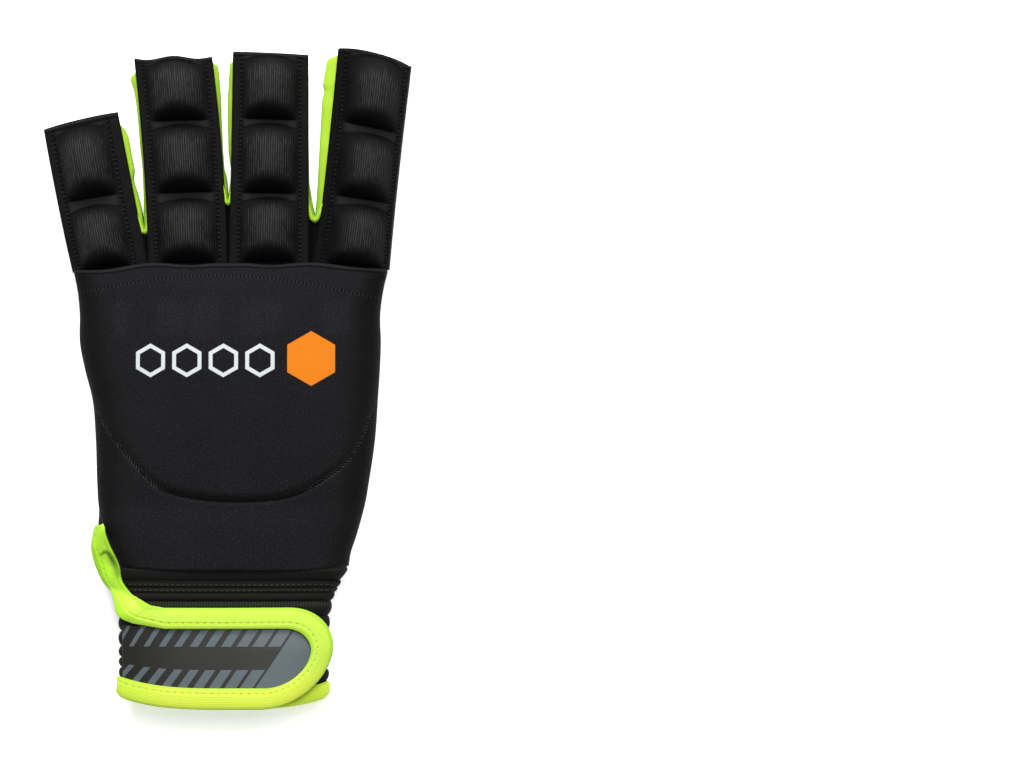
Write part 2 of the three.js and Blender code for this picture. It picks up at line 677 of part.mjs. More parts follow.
// The strap lies over the back half of the cuff, and its free end stands out flatter than the cuff.
function strapPoint(angle, y, out) {
  const section = cuffSection(y);
  const spread = Math.cos(angle) > 0 ? STRAP_RIGHT_SPREAD : 0;
  const reach = section.a + out + spread;
  const x = section.x + reach * superRoot(Math.cos(angle), CUFF_POWER);
  const z = section.b + (section.b + out) * superRoot(Math.sin(angle), CUFF_POWER);
  return new THREE.Vector3(x, y + (angle > Math.PI / 2 ? hemLift(x, y) : 0), z);
}

function strapAngleAt(x, out) {
  const section = cuffSection((STRAP_TOP + STRAP_BOTTOM) / 2);
  const spread = x > section.x ? STRAP_RIGHT_SPREAD : 0;
  const share = (x - section.x) / (section.a + out + spread);
  return Math.acos(Math.sign(share) * Math.abs(share) ** (CUFF_POWER / 2));
}

const STRAP_LEFT_ANGLE = THREE.MathUtils.degToRad(150);
const STRAP_MIDDLE = (STRAP_TOP + STRAP_BOTTOM) / 2;
const STRAP_HALF = (STRAP_TOP - STRAP_BOTTOM) / 2;

// One layer of the strap inside its outline moved in by an inset.
function strapLayer(inset, lift, wall) {
  const endX = STRAP_END.x + STRAP_END.reach - inset;
  const straightAngles = steps(9, STRAP_LEFT_ANGLE, strapAngleAt(STRAP_END.x, lift));
  const straight = straightAngles.map((angle) => ({ angle, half: 1 }));
  const round = [25, 45, 62, 75, 84].map((degrees) => {
    const turn = THREE.MathUtils.degToRad(degrees);
    const x = STRAP_END.x + (endX - STRAP_END.x) * Math.sin(turn);
    return { angle: strapAngleAt(x, lift), half: Math.cos(turn) };
  });
  const half = STRAP_HALF - inset;
  const outer = gridOf([...straight, ...round], steps(4, -1, 1), (station, v) =>
    strapPoint(station.angle, STRAP_MIDDLE + half * station.half * v, lift + wall),
  );
  return closedWall(outer, offsetGrid(outer, wall));
}

// Bright binding: down the side slit, along the strap's top edge, round its end and back.
function strapBinding() {
  const lift = STRAP_LIFT + STRAP_WALL + SEAM;
  const pathRows = [];
  const middle = (a, b) => a.clone().lerp(b, 0.5);
  for (const row of SLIT_BINDING) {
    const [out, inn] = [new THREE.Vector3(...row.out), new THREE.Vector3(...row.in)];
    pathRows.push([inn, middle(out, inn), out]);
  }
  const angleStart = strapAngleAt(STRAP_BINDING_START, lift);
  const angleEnd = strapAngleAt(STRAP_END.x, lift);
  const widths = [0, 0.5, 1].map((share) => share * STRAP_BINDING_WIDTH);
  const edgeRow = (angle, sign) =>
    widths.map((width) => strapPoint(angle, STRAP_MIDDLE + sign * (STRAP_HALF - width), lift + BINDING_WALL));
  steps(6, angleStart, angleEnd).forEach((angle) => pathRows.push(edgeRow(angle, 1)));
  for (const degrees of [68, 48, 30, 12, -6, -24, -42, -60, -76]) {
    const turn = THREE.MathUtils.degToRad(degrees);
    pathRows.push(
      widths.map((width) => {
        const x = STRAP_END.x + (STRAP_END.reach - width) * Math.cos(turn);
        const y = STRAP_MIDDLE + (STRAP_HALF - width) * Math.sin(turn);
        return strapPoint(strapAngleAt(x, lift), y, lift + BINDING_WALL);
      }),
    );
  }
  steps(8, angleEnd, STRAP_LEFT_ANGLE).forEach((angle) => pathRows.push(edgeRow(angle, -1)));
  const wallOf = (i) => (i <= SLIT_BINDING.length ? -SLIT_WALL : -BINDING_WALL);
  return closedWall(pathRows, offsetGrid(pathRows, wallOf));
}

// Front edge of the knuckle base, which stays behind the gussets.
const KNUCKLE_BASE_FRONT = [
  { x: -50, y: 42 },
  { x: -30, y: 42 },
  { x: -24, y: 44.9 },
  { x: -12, y: 48 },
  { x: 0.8, y: 54.2 },
  { x: 14, y: 50 },
  { x: 27, y: 48.8 },
  { x: 40, y: 42 },
  { x: 52, y: 40 },
];
const KNUCKLE_BASE = { left: -42, right: 45, back: 37.6 };

// Thin fabric under the strips' bases, seen in the wedges between them.
function knuckleBase() {
  const columnsX = steps(12, KNUCKLE_BASE.left, KNUCKLE_BASE.right);
  const rows = steps(3);
  const outer = gridOf(rows, columnsX, (share, x) => {
    const y = lerp(KNUCKLE_BASE.back, column(KNUCKLE_BASE_FRONT, "x", "y", x), share);
    const height = stripHeight(FINGERS[0], 0.3) - STRIP_WALL - SEAM * 1.5;
    return new THREE.Vector3(x, y, height);
  });
  return closedWall(outer, outer.map((row) => row.map((point) => raised(point, -KNUCKLE_WALL))));
}

const cloth = (color, roughness) => new THREE.MeshStandardMaterial({ color, roughness, metalness: 0 });
const BLACK_KNIT = 0x161616;
const PANEL_GREY = 0x1d1d22;
const LIME = 0xb8ff1e;
const PALM_BLACK = 0x1a1a1c;
const BAND_BLACK = 0x121214;
const PATCH_GREY = 0x565c61;

// The origin is under the middle of the glove's outline.
const OUTLINE_CENTRE = { x: 0.35, y: -0.15 };
const glove = new THREE.Group();
glove.position.set(-OUTLINE_CENTRE.x, -OUTLINE_CENTRE.y, 0);

function addPiece(name, geometry, material) {
  const mesh = new THREE.Mesh(geometry, material);
  mesh.name = name;
  glove.add(mesh);
}

addPiece("palm_panel", palmPanel(), cloth(PALM_BLACK, 0.7));
addPiece("thumb_opening_band", thumbBand(), cloth(BAND_BLACK, 0.8));
addPiece("back_panel", backPanel(), cloth(PANEL_GREY, 0.85));
addPiece("knuckle_base", knuckleBase(), cloth(BLACK_KNIT, 0.9));
for (const finger of FINGERS) {
  addPiece("finger_strip_" + finger.name, fingerStrip(finger), cloth(BLACK_KNIT, 0.85));
}
CROTCHES.forEach((crotch, i) => {
  addPiece("gusset_" + crotch.name, gusset(FINGERS[i], FINGERS[i + 1], crotch), cloth(LIME, 0.8));
});
addPiece("wrist_cuff", cuff(), cloth(BLACK_KNIT, 0.9));
addPiece("cuff_hem", cuffHem(), cloth(LIME, 0.8));
addPiece("wrist_strap", strapLayer(0.8, STRAP_LIFT, STRAP_WALL), cloth(BLACK_KNIT, 0.9));
addPiece(
  "strap_patch",
  strapLayer(STRAP_BINDING_WIDTH + SEAM, STRAP_LIFT + STRAP_WALL + SEAM, STRAP_PATCH_WALL),
  cloth(PATCH_GREY, 0.6),
);
addPiece("strap_binding", strapBinding(), cloth(LIME, 0.8));

export default glove;
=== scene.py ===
import math

import bpy
import numpy as np
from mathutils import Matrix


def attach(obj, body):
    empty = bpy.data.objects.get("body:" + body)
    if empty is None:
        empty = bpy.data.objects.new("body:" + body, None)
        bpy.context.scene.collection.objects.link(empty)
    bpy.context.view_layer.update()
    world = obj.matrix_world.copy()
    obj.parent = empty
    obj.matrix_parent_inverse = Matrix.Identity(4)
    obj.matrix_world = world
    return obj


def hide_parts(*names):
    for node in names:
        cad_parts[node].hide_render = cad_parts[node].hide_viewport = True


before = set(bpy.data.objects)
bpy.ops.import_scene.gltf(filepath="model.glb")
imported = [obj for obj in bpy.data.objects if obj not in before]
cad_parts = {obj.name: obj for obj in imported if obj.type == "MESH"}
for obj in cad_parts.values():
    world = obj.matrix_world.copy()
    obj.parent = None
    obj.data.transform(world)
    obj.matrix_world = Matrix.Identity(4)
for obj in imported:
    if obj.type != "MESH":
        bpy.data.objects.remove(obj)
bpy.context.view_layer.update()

bpy.ops.object.select_all(action="DESELECT")

# Studio: a white floor, a broad soft light beyond the fingertips, a weaker one overhead, and a
# camera straight above, with the fingertips at the top of the picture.
MM = 0.001
FRAME_PIXELS = (1024, 760)
MM_PER_PIXEL = 0.32
LENS = 200
SENSOR = 36
OUTLINE_HEIGHT = 10
CAMERA_HEIGHT = (LENS / SENSOR * FRAME_PIXELS[0] * MM_PER_PIXEL + OUTLINE_HEIGHT) * MM
GLOVE_PIXEL = (226.5, 378.0)
VIEW_CENTRE = (
    (FRAME_PIXELS[0] / 2 - GLOVE_PIXEL[0]) * MM_PER_PIXEL * MM,
    (GLOVE_PIXEL[1] - FRAME_PIXELS[1] / 2) * MM_PER_PIXEL * MM,
)
OUTLINE_CENTRE = np.array([0.35, -0.15, 0.0])

camera_data = bpy.data.cameras.new("camera")
camera_data.lens = LENS
camera_data.sensor_width = SENSOR
camera_data.clip_end = 20
camera = bpy.data.objects.new("camera", camera_data)
bpy.context.collection.objects.link(camera)
camera.location = (
    VIEW_CENTRE[0] - OUTLINE_CENTRE[0] * MM,
    VIEW_CENTRE[1] - OUTLINE_CENTRE[1] * MM,
    CAMERA_HEIGHT,
)
bpy.context.scene.camera = camera
bpy.context.scene.view_settings.view_transform = "Standard"


def area_light(name, place, aim, size, power):
    data = bpy.data.lights.new(name, "AREA")
    data.shape = "DISK"
    data.size = size
    data.energy = power
    lamp = bpy.data.objects.new(name, data)
    bpy.context.collection.objects.link(lamp)
    lamp.location = place
    direction = [a - b for a, b in zip(aim, place)]
    across = math.atan2(direction[0], -direction[1])
    down = math.atan2(math.hypot(direction[0], direction[1]), -direction[2])
    lamp.rotation_euler = (down, 0, across + math.pi)


area_light("key", (-0.15, 1.2, 0.85), (0, 0, 0), 0.7, 34)
area_light("overhead", (0.2, 0.45, 1.5), (0, 0, 0), 0.9, 22)

world = bpy.data.worlds.new("studio")
world.use_nodes = True
world.node_tree.nodes["Background"].inputs["Color"].default_value = (1, 1, 1, 1)
world.node_tree.nodes["Background"].inputs["Strength"].default_value = 0.2
bpy.context.scene.world = world


class Wire:
    """One output of a shader node. Sums of wires and numbers add Math nodes."""

    def __init__(self, tree, output):
        self.tree = tree
        self.output = output

    def math(self, operation, *others):
        return node(self.tree, "ShaderNodeMath", {"operation": operation}, [self, *others])

    def __add__(self, other):
        return self.math("ADD", other)

    def __sub__(self, other):
        return self.math("SUBTRACT", other)

    def __rsub__(self, other):
        return node(self.tree, "ShaderNodeMath", {"operation": "SUBTRACT"}, [other, self])

    def __mul__(self, other):
        return self.math("MULTIPLY", other)

    def __truediv__(self, other):
        return self.math("DIVIDE", other)

    def between(self, low, high, smooth=True):
        kind = "SMOOTHSTEP" if smooth else "LINEAR"
        settings = {"interpolation_type": kind}
        return node(self.tree, "ShaderNodeMapRange", settings, [self, low, high, 0.0, 1.0])


def node(tree, kind, settings=None, values=None, out=0):
    """Adds a node: its settings first, then the numbers or wires of its sockets."""
    made = tree.nodes.new(kind)
    for key, value in (settings or {}).items():
        setattr(made, key, value)
    pairs = values.items() if isinstance(values, dict) else enumerate(values or [])
    for socket, value in pairs:
        if isinstance(value, Wire):
            tree.links.new(value.output, made.inputs[socket])
        elif value is not None:
            made.inputs[socket].default_value = value
    return Wire(tree, made.outputs[out])


def mix_colour(share, first, second):
    """Slides from one colour to another by a wire."""
    return node(share.tree, "ShaderNodeMix", {"data_type": "RGBA"}, {0: share, 6: first, 7: second}, out=2)


def finish_material(name, make):
    """A cloth-like material. make(tree, surface) returns its sockets and its bump height."""
    material = bpy.data.materials.new(name)
    material.use_nodes = True
    tree = material.node_tree
    shader = tree.nodes["Principled BSDF"]
    surface = node(tree, "ShaderNodeUVMap", {"uv_map": "cloth"})
    parts = node(tree, "ShaderNodeSeparateXYZ", None, [surface])
    across, along = Wire(tree, parts.output.node.outputs[0]), Wire(tree, parts.output.node.outputs[1])
    sockets, height, depth = make(tree, surface, across, along)
    sockets = {"Specular IOR Level": 0.12, **sockets}
    if height is not None:
        bump = {"Height": height, "Distance": depth * MM, "Strength": 1.0}
        sockets["Normal"] = node(tree, "ShaderNodeBump", None, bump)
    for socket, value in sockets.items():
        if isinstance(value, Wire):
            tree.links.new(value.output, shader.inputs[socket])
        else:
            shader.inputs[socket].default_value = value
    return material


def noise(tree, where, scale, detail=2.0, rough=0.5):
    """Noise from 0 to 1 on the cloth's own millimetres."""
    values = {"Vector": where, "Scale": scale, "Detail": detail, "Roughness": rough}
    return node(tree, "ShaderNodeTexNoise", None, values)


def wave(position, pitch):
    """A rounded ridge from 0 to 1 for each pitch."""
    return (position * (2 * math.pi / pitch)).math("SINE") * 0.5 + 0.5


def floor_look(tree, surface, across, along):
    speckle = noise(tree, surface, 0.4, 3.0)
    colour = mix_colour(speckle, (0.86, 0.86, 0.87, 1), (0.9, 0.9, 0.9, 1))
    glow = {"Emission Color": colour, "Emission Strength": 0.6}
    return {"Base Color": colour, "Roughness": 0.6, **glow}, None, 0


bpy.ops.mesh.primitive_plane_add(size=6)
floor = bpy.context.active_object
floor.name = "floor"
floor.data.uv_layers[0].name = "cloth"
floor.data.materials.append(finish_material("floor_paint", floor_look))


# Palm: one panel of thin black knit with a raised grey honeycomb print, cut with its four finger
# fronts in one piece. It lies flat, turns up at both sides of the hand and is sewn to the back there.


def rows_of(columns, *rows):
    """A table: its column names in one string, then its rows of values."""
    return [dict(zip(columns.split(), row)) for row in rows]


PALM_WALL = 1.3
FLOOR_GAP = 0.02
PALM_CORNER = 9.0
HAND_BOTTOM = -60.2
HAND_TOP = 34.0
HAND_ROWS = 80
FINGER_ROWS = 46
FLARE_FROM = 11.5
SIDE_TUCK = 1.3
SIDE_TUCK_RISE = 0.5
STRIP_LAP = 0.6
STRIP_TUCK = 0.5
CROTCH_LEAD = 0.6
THUMB_LAP = 2.2
HAND = rows_of(
    "y left right top palm_left seam power knuckles",
    (-60.2, -34.8, 39.1, 21.8, -38.9, 9.0, 2.6, 0),
    (-55.7, -36.6, 39.8, 22.6, -41.2, 9.0, 2.6, 0),
    (-51.0, -38.6, 41.4, 23.4, -41.6, 9.0, 2.6, 0),
    (-46.5, -40.0, 42.7, 24.0, -41.3, 9.0, 2.6, 0),
    (-40.0, -41.0, 44.4, 24.4, -41.0, 9.0, 2.6, 0),
    (-33.0, -41.4, 45.6, 24.8, -41.4, 9.0, 2.6, 0),
    (-20.0, -41.8, 47.5, 25.2, -41.8, 9.0, 2.6, 0.1),
    (-6.0, -43.0, 48.5, 25.2, -43.0, 9.0, 2.6, 0.4),
    (3.0, -45.3, 49.1, 24.8, -45.3, 9.0, 2.6, 0.8),
    (11.5, -46.9, 49.4, 24.0, -46.9, 9.0, 2.6, 1),
    (20.5, -46.9, 49.2, 23.0, -46.9, 9.4, 2.9, 1),
    (28.0, -47.6, 50.2, 21.6, -47.6, 9.8, 3.6, 0.6),
    (34.0, -48.8, 51.6, 19.6, -48.8, 10.0, 4.4, 0),
)
BEND_AT = 0.33
STRIP_WALL = 1.5
SEAM = 0.3
FINGERS = [
    dict(
        name="pinky", blocks=2, inset_left=4.5, inset_right=2.6, height=15.0,
        left=((-49.1, 33.6), (-52.2, 48.0), (-58.5, 79.5)),
        right=((-24.9, 36.2), (-27.9, 51.6), (-34.6, 85.1)),
    ),
    dict(
        name="ring", blocks=3, inset_left=3.2, inset_right=2.2, height=16.4,
        left=((-24.6, 36.2), (-25.5, 57.6), (-29.4, 102.0)),
        right=((0.6, 36.5), (-0.2, 58.3), (-4.4, 102.6)),
    ),
    dict(
        name="middle", blocks=3, inset_left=2.8, inset_right=2.4, height=16.6,
        left=((1.0, 36.5), (1.5, 58.9), (2.2, 104.3)),
        right=((26.6, 36.5), (26.5, 58.5), (26.4, 103.2)),
    ),
    dict(
        name="index", blocks=3, inset_left=1.4, inset_right=6.2, height=15.8,
        left=((28.4, 36.2), (31.1, 59.0), (35.8, 105.4)),
        right=((51.6, 34.6), (53.6, 55.5), (58.7, 99.8)),
    ),
]
CROTCHES = rows_of(
    "name back_y palm_y bulge cut",
    ("pinky_ring", 45.0, 51.6, 0.9, 0.081),
    ("ring_middle", 54.4, 57.6, 0.8, 0.089),
    ("middle_index", 49.0, 52.0, 1.6, 0.103),
)
FINGER_DROOP = 2.6
EDGE_ROLL = 1.3
THUMB_CENTRE = np.array([15.9, -3.0])
THUMB_INNER = np.array([22.7, 24.5])
THUMB_OUTER = np.array([29.0, 31.8])


def slide(a, b, share):
    return a + (b - a) * share


def ease(value, low, high):
    share = np.clip((value - low) / (high - low), 0, 1)
    return share * share * (3 - 2 * share)


def read(table, key, name, at):
    """A named column of a table between its rows, on a smooth curve."""
    rows = sorted(table, key=lambda row: row[key])
    places = np.array([row[key] for row in rows], float)
    values = np.array([row[name] for row in rows], float)
    slopes = np.gradient(values, places)
    at = np.clip(np.asarray(at, float), places[0], places[-1])
    i = np.clip(np.searchsorted(places, at) - 1, 0, len(places) - 2)
    step = places[i + 1] - places[i]
    t = (at - places[i]) / step
    curve = (2 * t**3 - 3 * t**2 + 1) * values[i] + (t**3 - 2 * t**2 + t) * step * slopes[i]
    return curve + (3 * t**2 - 2 * t**3) * values[i + 1] + (t**3 - t**2) * step * slopes[i + 1]


def edge(points, share):
    """A side edge of a finger strip through its base, its bend and its tip."""
    base, bend, tip = (np.array(p, float) for p in points)
    share = np.asarray(share, float)[..., None]
    low = (share - BEND_AT) * (share - 1) / BEND_AT
    middle = share * (share - 1) / (BEND_AT * (BEND_AT - 1))
    high = share * (share - BEND_AT) / (1 - BEND_AT)
    return base * low + bend * middle + tip * high


def share_at(points, y):
    """How far along an edge it reaches a given y."""
    shares = np.linspace(-0.2, 1, 400)
    return np.interp(y, edge(points, shares)[:, 1], shares)


def strip_height(finger, share, across=0.5):
    """Height of a strip's top face. The two outermost strips roll down at their outer edges."""
    outer = {"pinky": 1 - np.asarray(across), "index": np.asarray(across)}.get(finger["name"], 0.0)
    roll = EDGE_ROLL * (1 + 1.4 * (1 - ease(share, 0, 0.3))) * np.power(outer, 6)
    return finger["height"] - FINGER_DROOP * np.clip(share, 0, None) ** 2 - roll


def palm_edge(finger, side, share):
    inset = finger["inset_left"] if side == "left" else -finger["inset_right"]
    return edge(finger[side], share) + np.array([inset, 0.0])


def cloth_piece(name, points, uv, wall, keep=None, wrap=False):
    """Makes a wall of cloth from a grid of outer points and their places on the cloth, in mm."""
    rows, columns = points.shape[:2]
    corners = ((points - OUTLINE_CENTRE) * MM).reshape(-1, 3)
    faces = []
    for i in range(rows - 1):
        for j in range(columns if wrap else columns - 1):
            if keep is None or keep[i, j]:
                k = (j + 1) % columns
                faces.append((i * columns + j, i * columns + k, (i + 1) * columns + k, (i + 1) * columns + j))
    mesh = bpy.data.meshes.new(name)
    mesh.from_pydata(corners.tolist(), [], faces)
    layer = mesh.uv_layers.new(name="cloth")
    corner_vertices = np.zeros(len(mesh.loops), int)
    mesh.loops.foreach_get("vertex_index", corner_vertices)
    flat = uv.reshape(-1, 2)[corner_vertices]
    if wrap:
        seam = np.repeat([(k % columns) == columns - 1 for k in range(len(faces))], 4)
        turned = seam & (np.tile([0, 1, 1, 0], len(faces)) == 1)
        flat[turned, 0] = uv[0, -1, 0] + (uv[0, -1, 0] - uv[0, -2, 0])
    layer.data.foreach_set("uv", flat.ravel())
    piece = bpy.data.objects.new(name, mesh)
    bpy.context.collection.objects.link(piece)
    if keep is not None:
        drop_loose(piece)
    if wall:
        modify(piece, "SOLIDIFY", thickness=wall * MM, offset=-1, use_even_offset=False)
    mesh.shade_smooth()
    return piece


def pick(piece):
    bpy.ops.object.select_all(action="DESELECT")
    piece.select_set(True)
    bpy.context.view_layer.objects.active = piece


def modify(piece, kind, **settings):
    """Adds a modifier, sets it and applies it."""
    pick(piece)
    modifier = piece.modifiers.new(kind.lower(), kind)
    for key, value in settings.items():
        setattr(modifier, key, value)
    bpy.ops.object.modifier_apply(modifier=modifier.name)


def drop_loose(piece):
    pick(piece)
    bpy.ops.object.mode_set(mode="EDIT")
    bpy.ops.mesh.select_all(action="SELECT")
    bpy.ops.mesh.delete_loose(use_verts=True, use_edges=True, use_faces=False)
    bpy.ops.object.mode_set(mode="OBJECT")


def settle(piece, material, cad_node):
    """Gives a piece its material, hangs it on the root body, and hides the CAD part that it stands for."""
    piece.data.materials.append(material)
    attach(piece, "root")
    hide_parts(cad_node)


def walked(points):
    """Distances along the rows and along the columns of a grid, as places on the cloth."""
    across = np.linalg.norm(np.diff(points, axis=1), axis=2)
    along = np.linalg.norm(np.diff(points, axis=0), axis=2)
    u = np.concatenate([np.zeros((points.shape[0], 1)), np.cumsum(across, axis=1)], axis=1)
    v = np.concatenate([np.zeros((1, points.shape[1])), np.cumsum(along, axis=0)], axis=0)
    return np.stack([u - u.mean(axis=1, keepdims=True), v], axis=2)


def crotch_share(f, side):
    near = f - 1 if side == "left" else f
    if not 0 <= near < len(CROTCHES):
        near = f if side == "left" else f - 1
    return share_at(FINGERS[f][side], CROTCHES[near]["palm_y"] - CROTCH_LEAD)


def palm_column(kind, f, share, angle):
    """One lengthwise line of the palm, from the cuff to its finger's tip or to its crotch."""
    y = np.linspace(HAND_BOTTOM, HAND_TOP, HAND_ROWS)
    towards = ease(y, FLARE_FROM, HAND_TOP)
    left = read(HAND, "y", "palm_left", y)
    right = read(HAND, "y", "right", y)
    corner_left = slide(PALM_CORNER, FINGERS[0]["inset_left"], towards)
    corner_right = slide(PALM_CORNER, FINGERS[-1]["inset_right"], towards)
    seam = read(HAND, "y", "seam", y)
    along = np.linspace(0, 1, FINGER_ROWS)
    if kind == "left":
        turned_in = (read(HAND, "y", "left", y) - left) * SIDE_TUCK * (angle == 0)
        rim = left + corner_left * (1 - math.cos(angle)) + turned_in
        height = seam * (1 - math.sin(angle)) + np.minimum(turned_in, SIDE_TUCK_RISE)
        hand = np.stack([rim, y, height], 1)
        reach = slide(crotch_share(0, "left"), 1, along)
        tip = edge(FINGERS[0]["left"], reach)
        wall_top = strip_height(FINGERS[0], reach, 0.0) - STRIP_WALL + STRIP_LAP
        out = FINGERS[0]["inset_left"] * (1 - math.cos(angle)) + STRIP_TUCK * (angle == 0)
        finger = np.stack([tip[:, 0] + out, tip[:, 1], wall_top * (1 - math.sin(angle))], 1)
        return np.concatenate([hand, finger])
    if kind == "right":
        hand = np.stack([right - corner_right * (1 - math.cos(angle)), y, seam * (1 - math.sin(angle))], 1)
        f, share = 3, 1.0
    start = slide(crotch_share(f, "left"), crotch_share(f, "right"), share)
    reach = slide(start, 1, along)
    spot = slide(palm_edge(FINGERS[f], "left", reach), palm_edge(FINGERS[f], "right", reach), share)
    finger = np.concatenate([spot, np.zeros((len(along), 1))], axis=1)
    if kind == "finger":
        flat_from = palm_edge(FINGERS[0], "left", crotch_share(0, "left"))[0]
        flat_to = palm_edge(FINGERS[-1], "right", crotch_share(3, "right"))[0]
        part = (spot[0, 0] - flat_from) / (flat_to - flat_from)
        hand = np.stack([slide(left + corner_left, right - corner_right, part), y, 0 * y], 1)
    return np.concatenate([hand, finger])


def palm_grid():
    columns, finger_of = [], []
    for angle in np.linspace(0, math.pi / 2, 11)[:-1]:
        columns.append(palm_column("left", 0, 0, angle))
        finger_of.append(0)
    for f in range(4):
        for share in np.linspace(0, 1, 18):
            columns.append(palm_column("finger", f, share, 0))
            finger_of.append(f)
    for angle in np.linspace(math.pi / 2, 0, 11)[1:]:
        columns.append(palm_column("right", 3, 1, angle))
        finger_of.append(4)
    points = np.stack(columns, axis=1)
    keep = np.ones((points.shape[0] - 1, points.shape[1] - 1), bool)
    for j in range(points.shape[1] - 1):
        if finger_of[j] != finger_of[j + 1]:
            keep[HAND_ROWS:, j] = False
        if finger_of[j + 1] == 4:
            keep[HAND_ROWS - 1:, j] = False
    middles = (points[:-1, :-1, :2] + points[1:, 1:, :2]) / 2
    reach = np.linalg.norm((middles - THUMB_CENTRE) / (THUMB_OUTER - THUMB_LAP), axis=2)
    keep &= reach > 1
    flat = np.linalg.norm((points[:, :, :2] - THUMB_CENTRE) / (THUMB_OUTER - THUMB_LAP), axis=2)
    near = (flat > 0.94) & (flat < 1.0)
    moved = THUMB_CENTRE + (points[:, :, :2] - THUMB_CENTRE) / flat[..., None]
    points[near, 0:2] = moved[near]
    return points, keep


def plan(tree):
    """The piece's own place across and along the hand, in millimetres."""
    place = node(tree, "ShaderNodeTexCoord", out=3)
    parts = node(tree, "ShaderNodeSeparateXYZ", None, [place]).output.node.outputs
    return [Wire(tree, parts[k]) * (1 / MM) + OUTLINE_CENTRE[k] for k in range(2)]


def honeycomb(x, y, pitch):
    """Distance from the nearest cell's centre towards its side, over a honeycomb of upright cells."""
    rows = pitch * 1.732
    cells = []
    for shift in (0.0, 0.5):
        dx = (((x / pitch + shift).math("FRACT") - 0.5) * pitch).math("ABSOLUTE")
        dy = (((y / rows + shift).math("FRACT") - 0.5) * rows).math("ABSOLUTE")
        cells.append(dx.math("MAXIMUM", dx * 0.5 + dy * 0.866))
    return cells[0].math("MINIMUM", cells[1])


def painted(tree, name):
    """A value stored on the mesh for its material."""
    return node(tree, "ShaderNodeAttribute", {"attribute_name": name}, out=2)


def palm_look(tree, surface, across, along):
    weave = wave(across, 0.55) * wave(along, 0.5)
    blotch = noise(tree, surface, 0.12, 3.0)
    colour = mix_colour(blotch, (0.008, 0.008, 0.009, 1), (0.017, 0.017, 0.018, 1))
    outer = painted(tree, "outer")
    broken = noise(tree, surface, 0.9, 3.0).between(0.34, 0.5)
    print_line = honeycomb(across, along, 4.5).between(1.98, 2.12) * broken * outer
    colour = mix_colour(print_line, colour, (0.16, 0.165, 0.17, 1))
    height = weave * 0.4 + noise(tree, surface, 2.2, 3.0) * 0.6 + print_line * 1.4
    return {"Base Color": colour, "Roughness": 0.78}, height, 0.12


palm_points, palm_keep = palm_grid()
palm_points[..., 2] = np.maximum(palm_points[..., 2], 0) + FLOOR_GAP
palm_uv = palm_points[..., :2].copy()
palm_uv[..., 0] += palm_points[..., 2] * np.where(palm_points[..., 0] > 0, 1, -1)
palm = cloth_piece("palm", palm_points[:, ::-1], palm_uv[:, ::-1], PALM_WALL, keep=palm_keep[:, ::-1])
palm_outer = palm.data.attributes.new("outer", "FLOAT", "POINT")
half = len(palm.data.vertices) // 2
palm_outer.data.foreach_set("value", [1.0] * half + [0.0] * (len(palm.data.vertices) - half))
settle(palm, finish_material("palm_knit", palm_look), "palm_panel")


# Thumb opening: the rim of the hole that the thumb comes out of. A band of smooth black stretch
# cloth is folded in half and sewn round the hole's edge in the palm.
BAND_PROFILE = rows_of(
    "step share height",
    (0, 1.0, 0.0),
    (1, 0.55, 0.0),
    (2, 0.12, 0.1),
    (3, 0.0, 0.85),
    (4, 0.12, 1.7),
    (5, 0.5, 2.1),
    (6, 1.0, 1.6),
)


def band_look(tree, surface, across, along):
    grain = noise(tree, surface, 3.0, 3.0)
    colour = mix_colour(noise(tree, surface, 0.2), (0.007, 0.007, 0.008, 1), (0.013, 0.013, 0.014, 1))
    return {"Base Color": colour, "Roughness": 0.7}, grain, 0.08


def thumb_band():
    turns = np.linspace(0, 2 * math.pi, 145)[:-1]
    steps = np.linspace(0, 6, 31)
    share = read(BAND_PROFILE, "step", "share", steps)[:, None]
    height = read(BAND_PROFILE, "step", "height", steps)[:, None]
    reach = THUMB_INNER[None, None, :] + (THUMB_OUTER - THUMB_INNER)[None, None, :] * share[..., None]
    ripple = 0.12 * np.sin(turns * 9) * np.sin(turns * 4 + 1)
    x = THUMB_CENTRE[0] + (reach[..., 0] + ripple) * np.cos(turns)[None, :]
    y = THUMB_CENTRE[1] + (reach[..., 1] + ripple) * np.sin(turns)[None, :]
    turned_up = np.clip((x - read(HAND, "y", "right", y)) / PALM_CORNER + 1, 0, 1)
    lift = read(HAND, "y", "seam", y) * (1 - np.sqrt(1 - turned_up**2))
    points = np.stack(np.broadcast_arrays(x, y, np.maximum(height, FLOOR_GAP) + lift), axis=2)
    uv = np.stack(np.broadcast_arrays(turns[None, :] * 26.0, steps[:, None] * 1.4), axis=2)
    return points, np.array(uv)


band_points, band_uv = thumb_band()
band = cloth_piece("thumb_band", band_points, band_uv, 0, wrap=True)
band_material = finish_material("smooth_band", band_look)
settle(band, band_material, "thumb_opening_band")


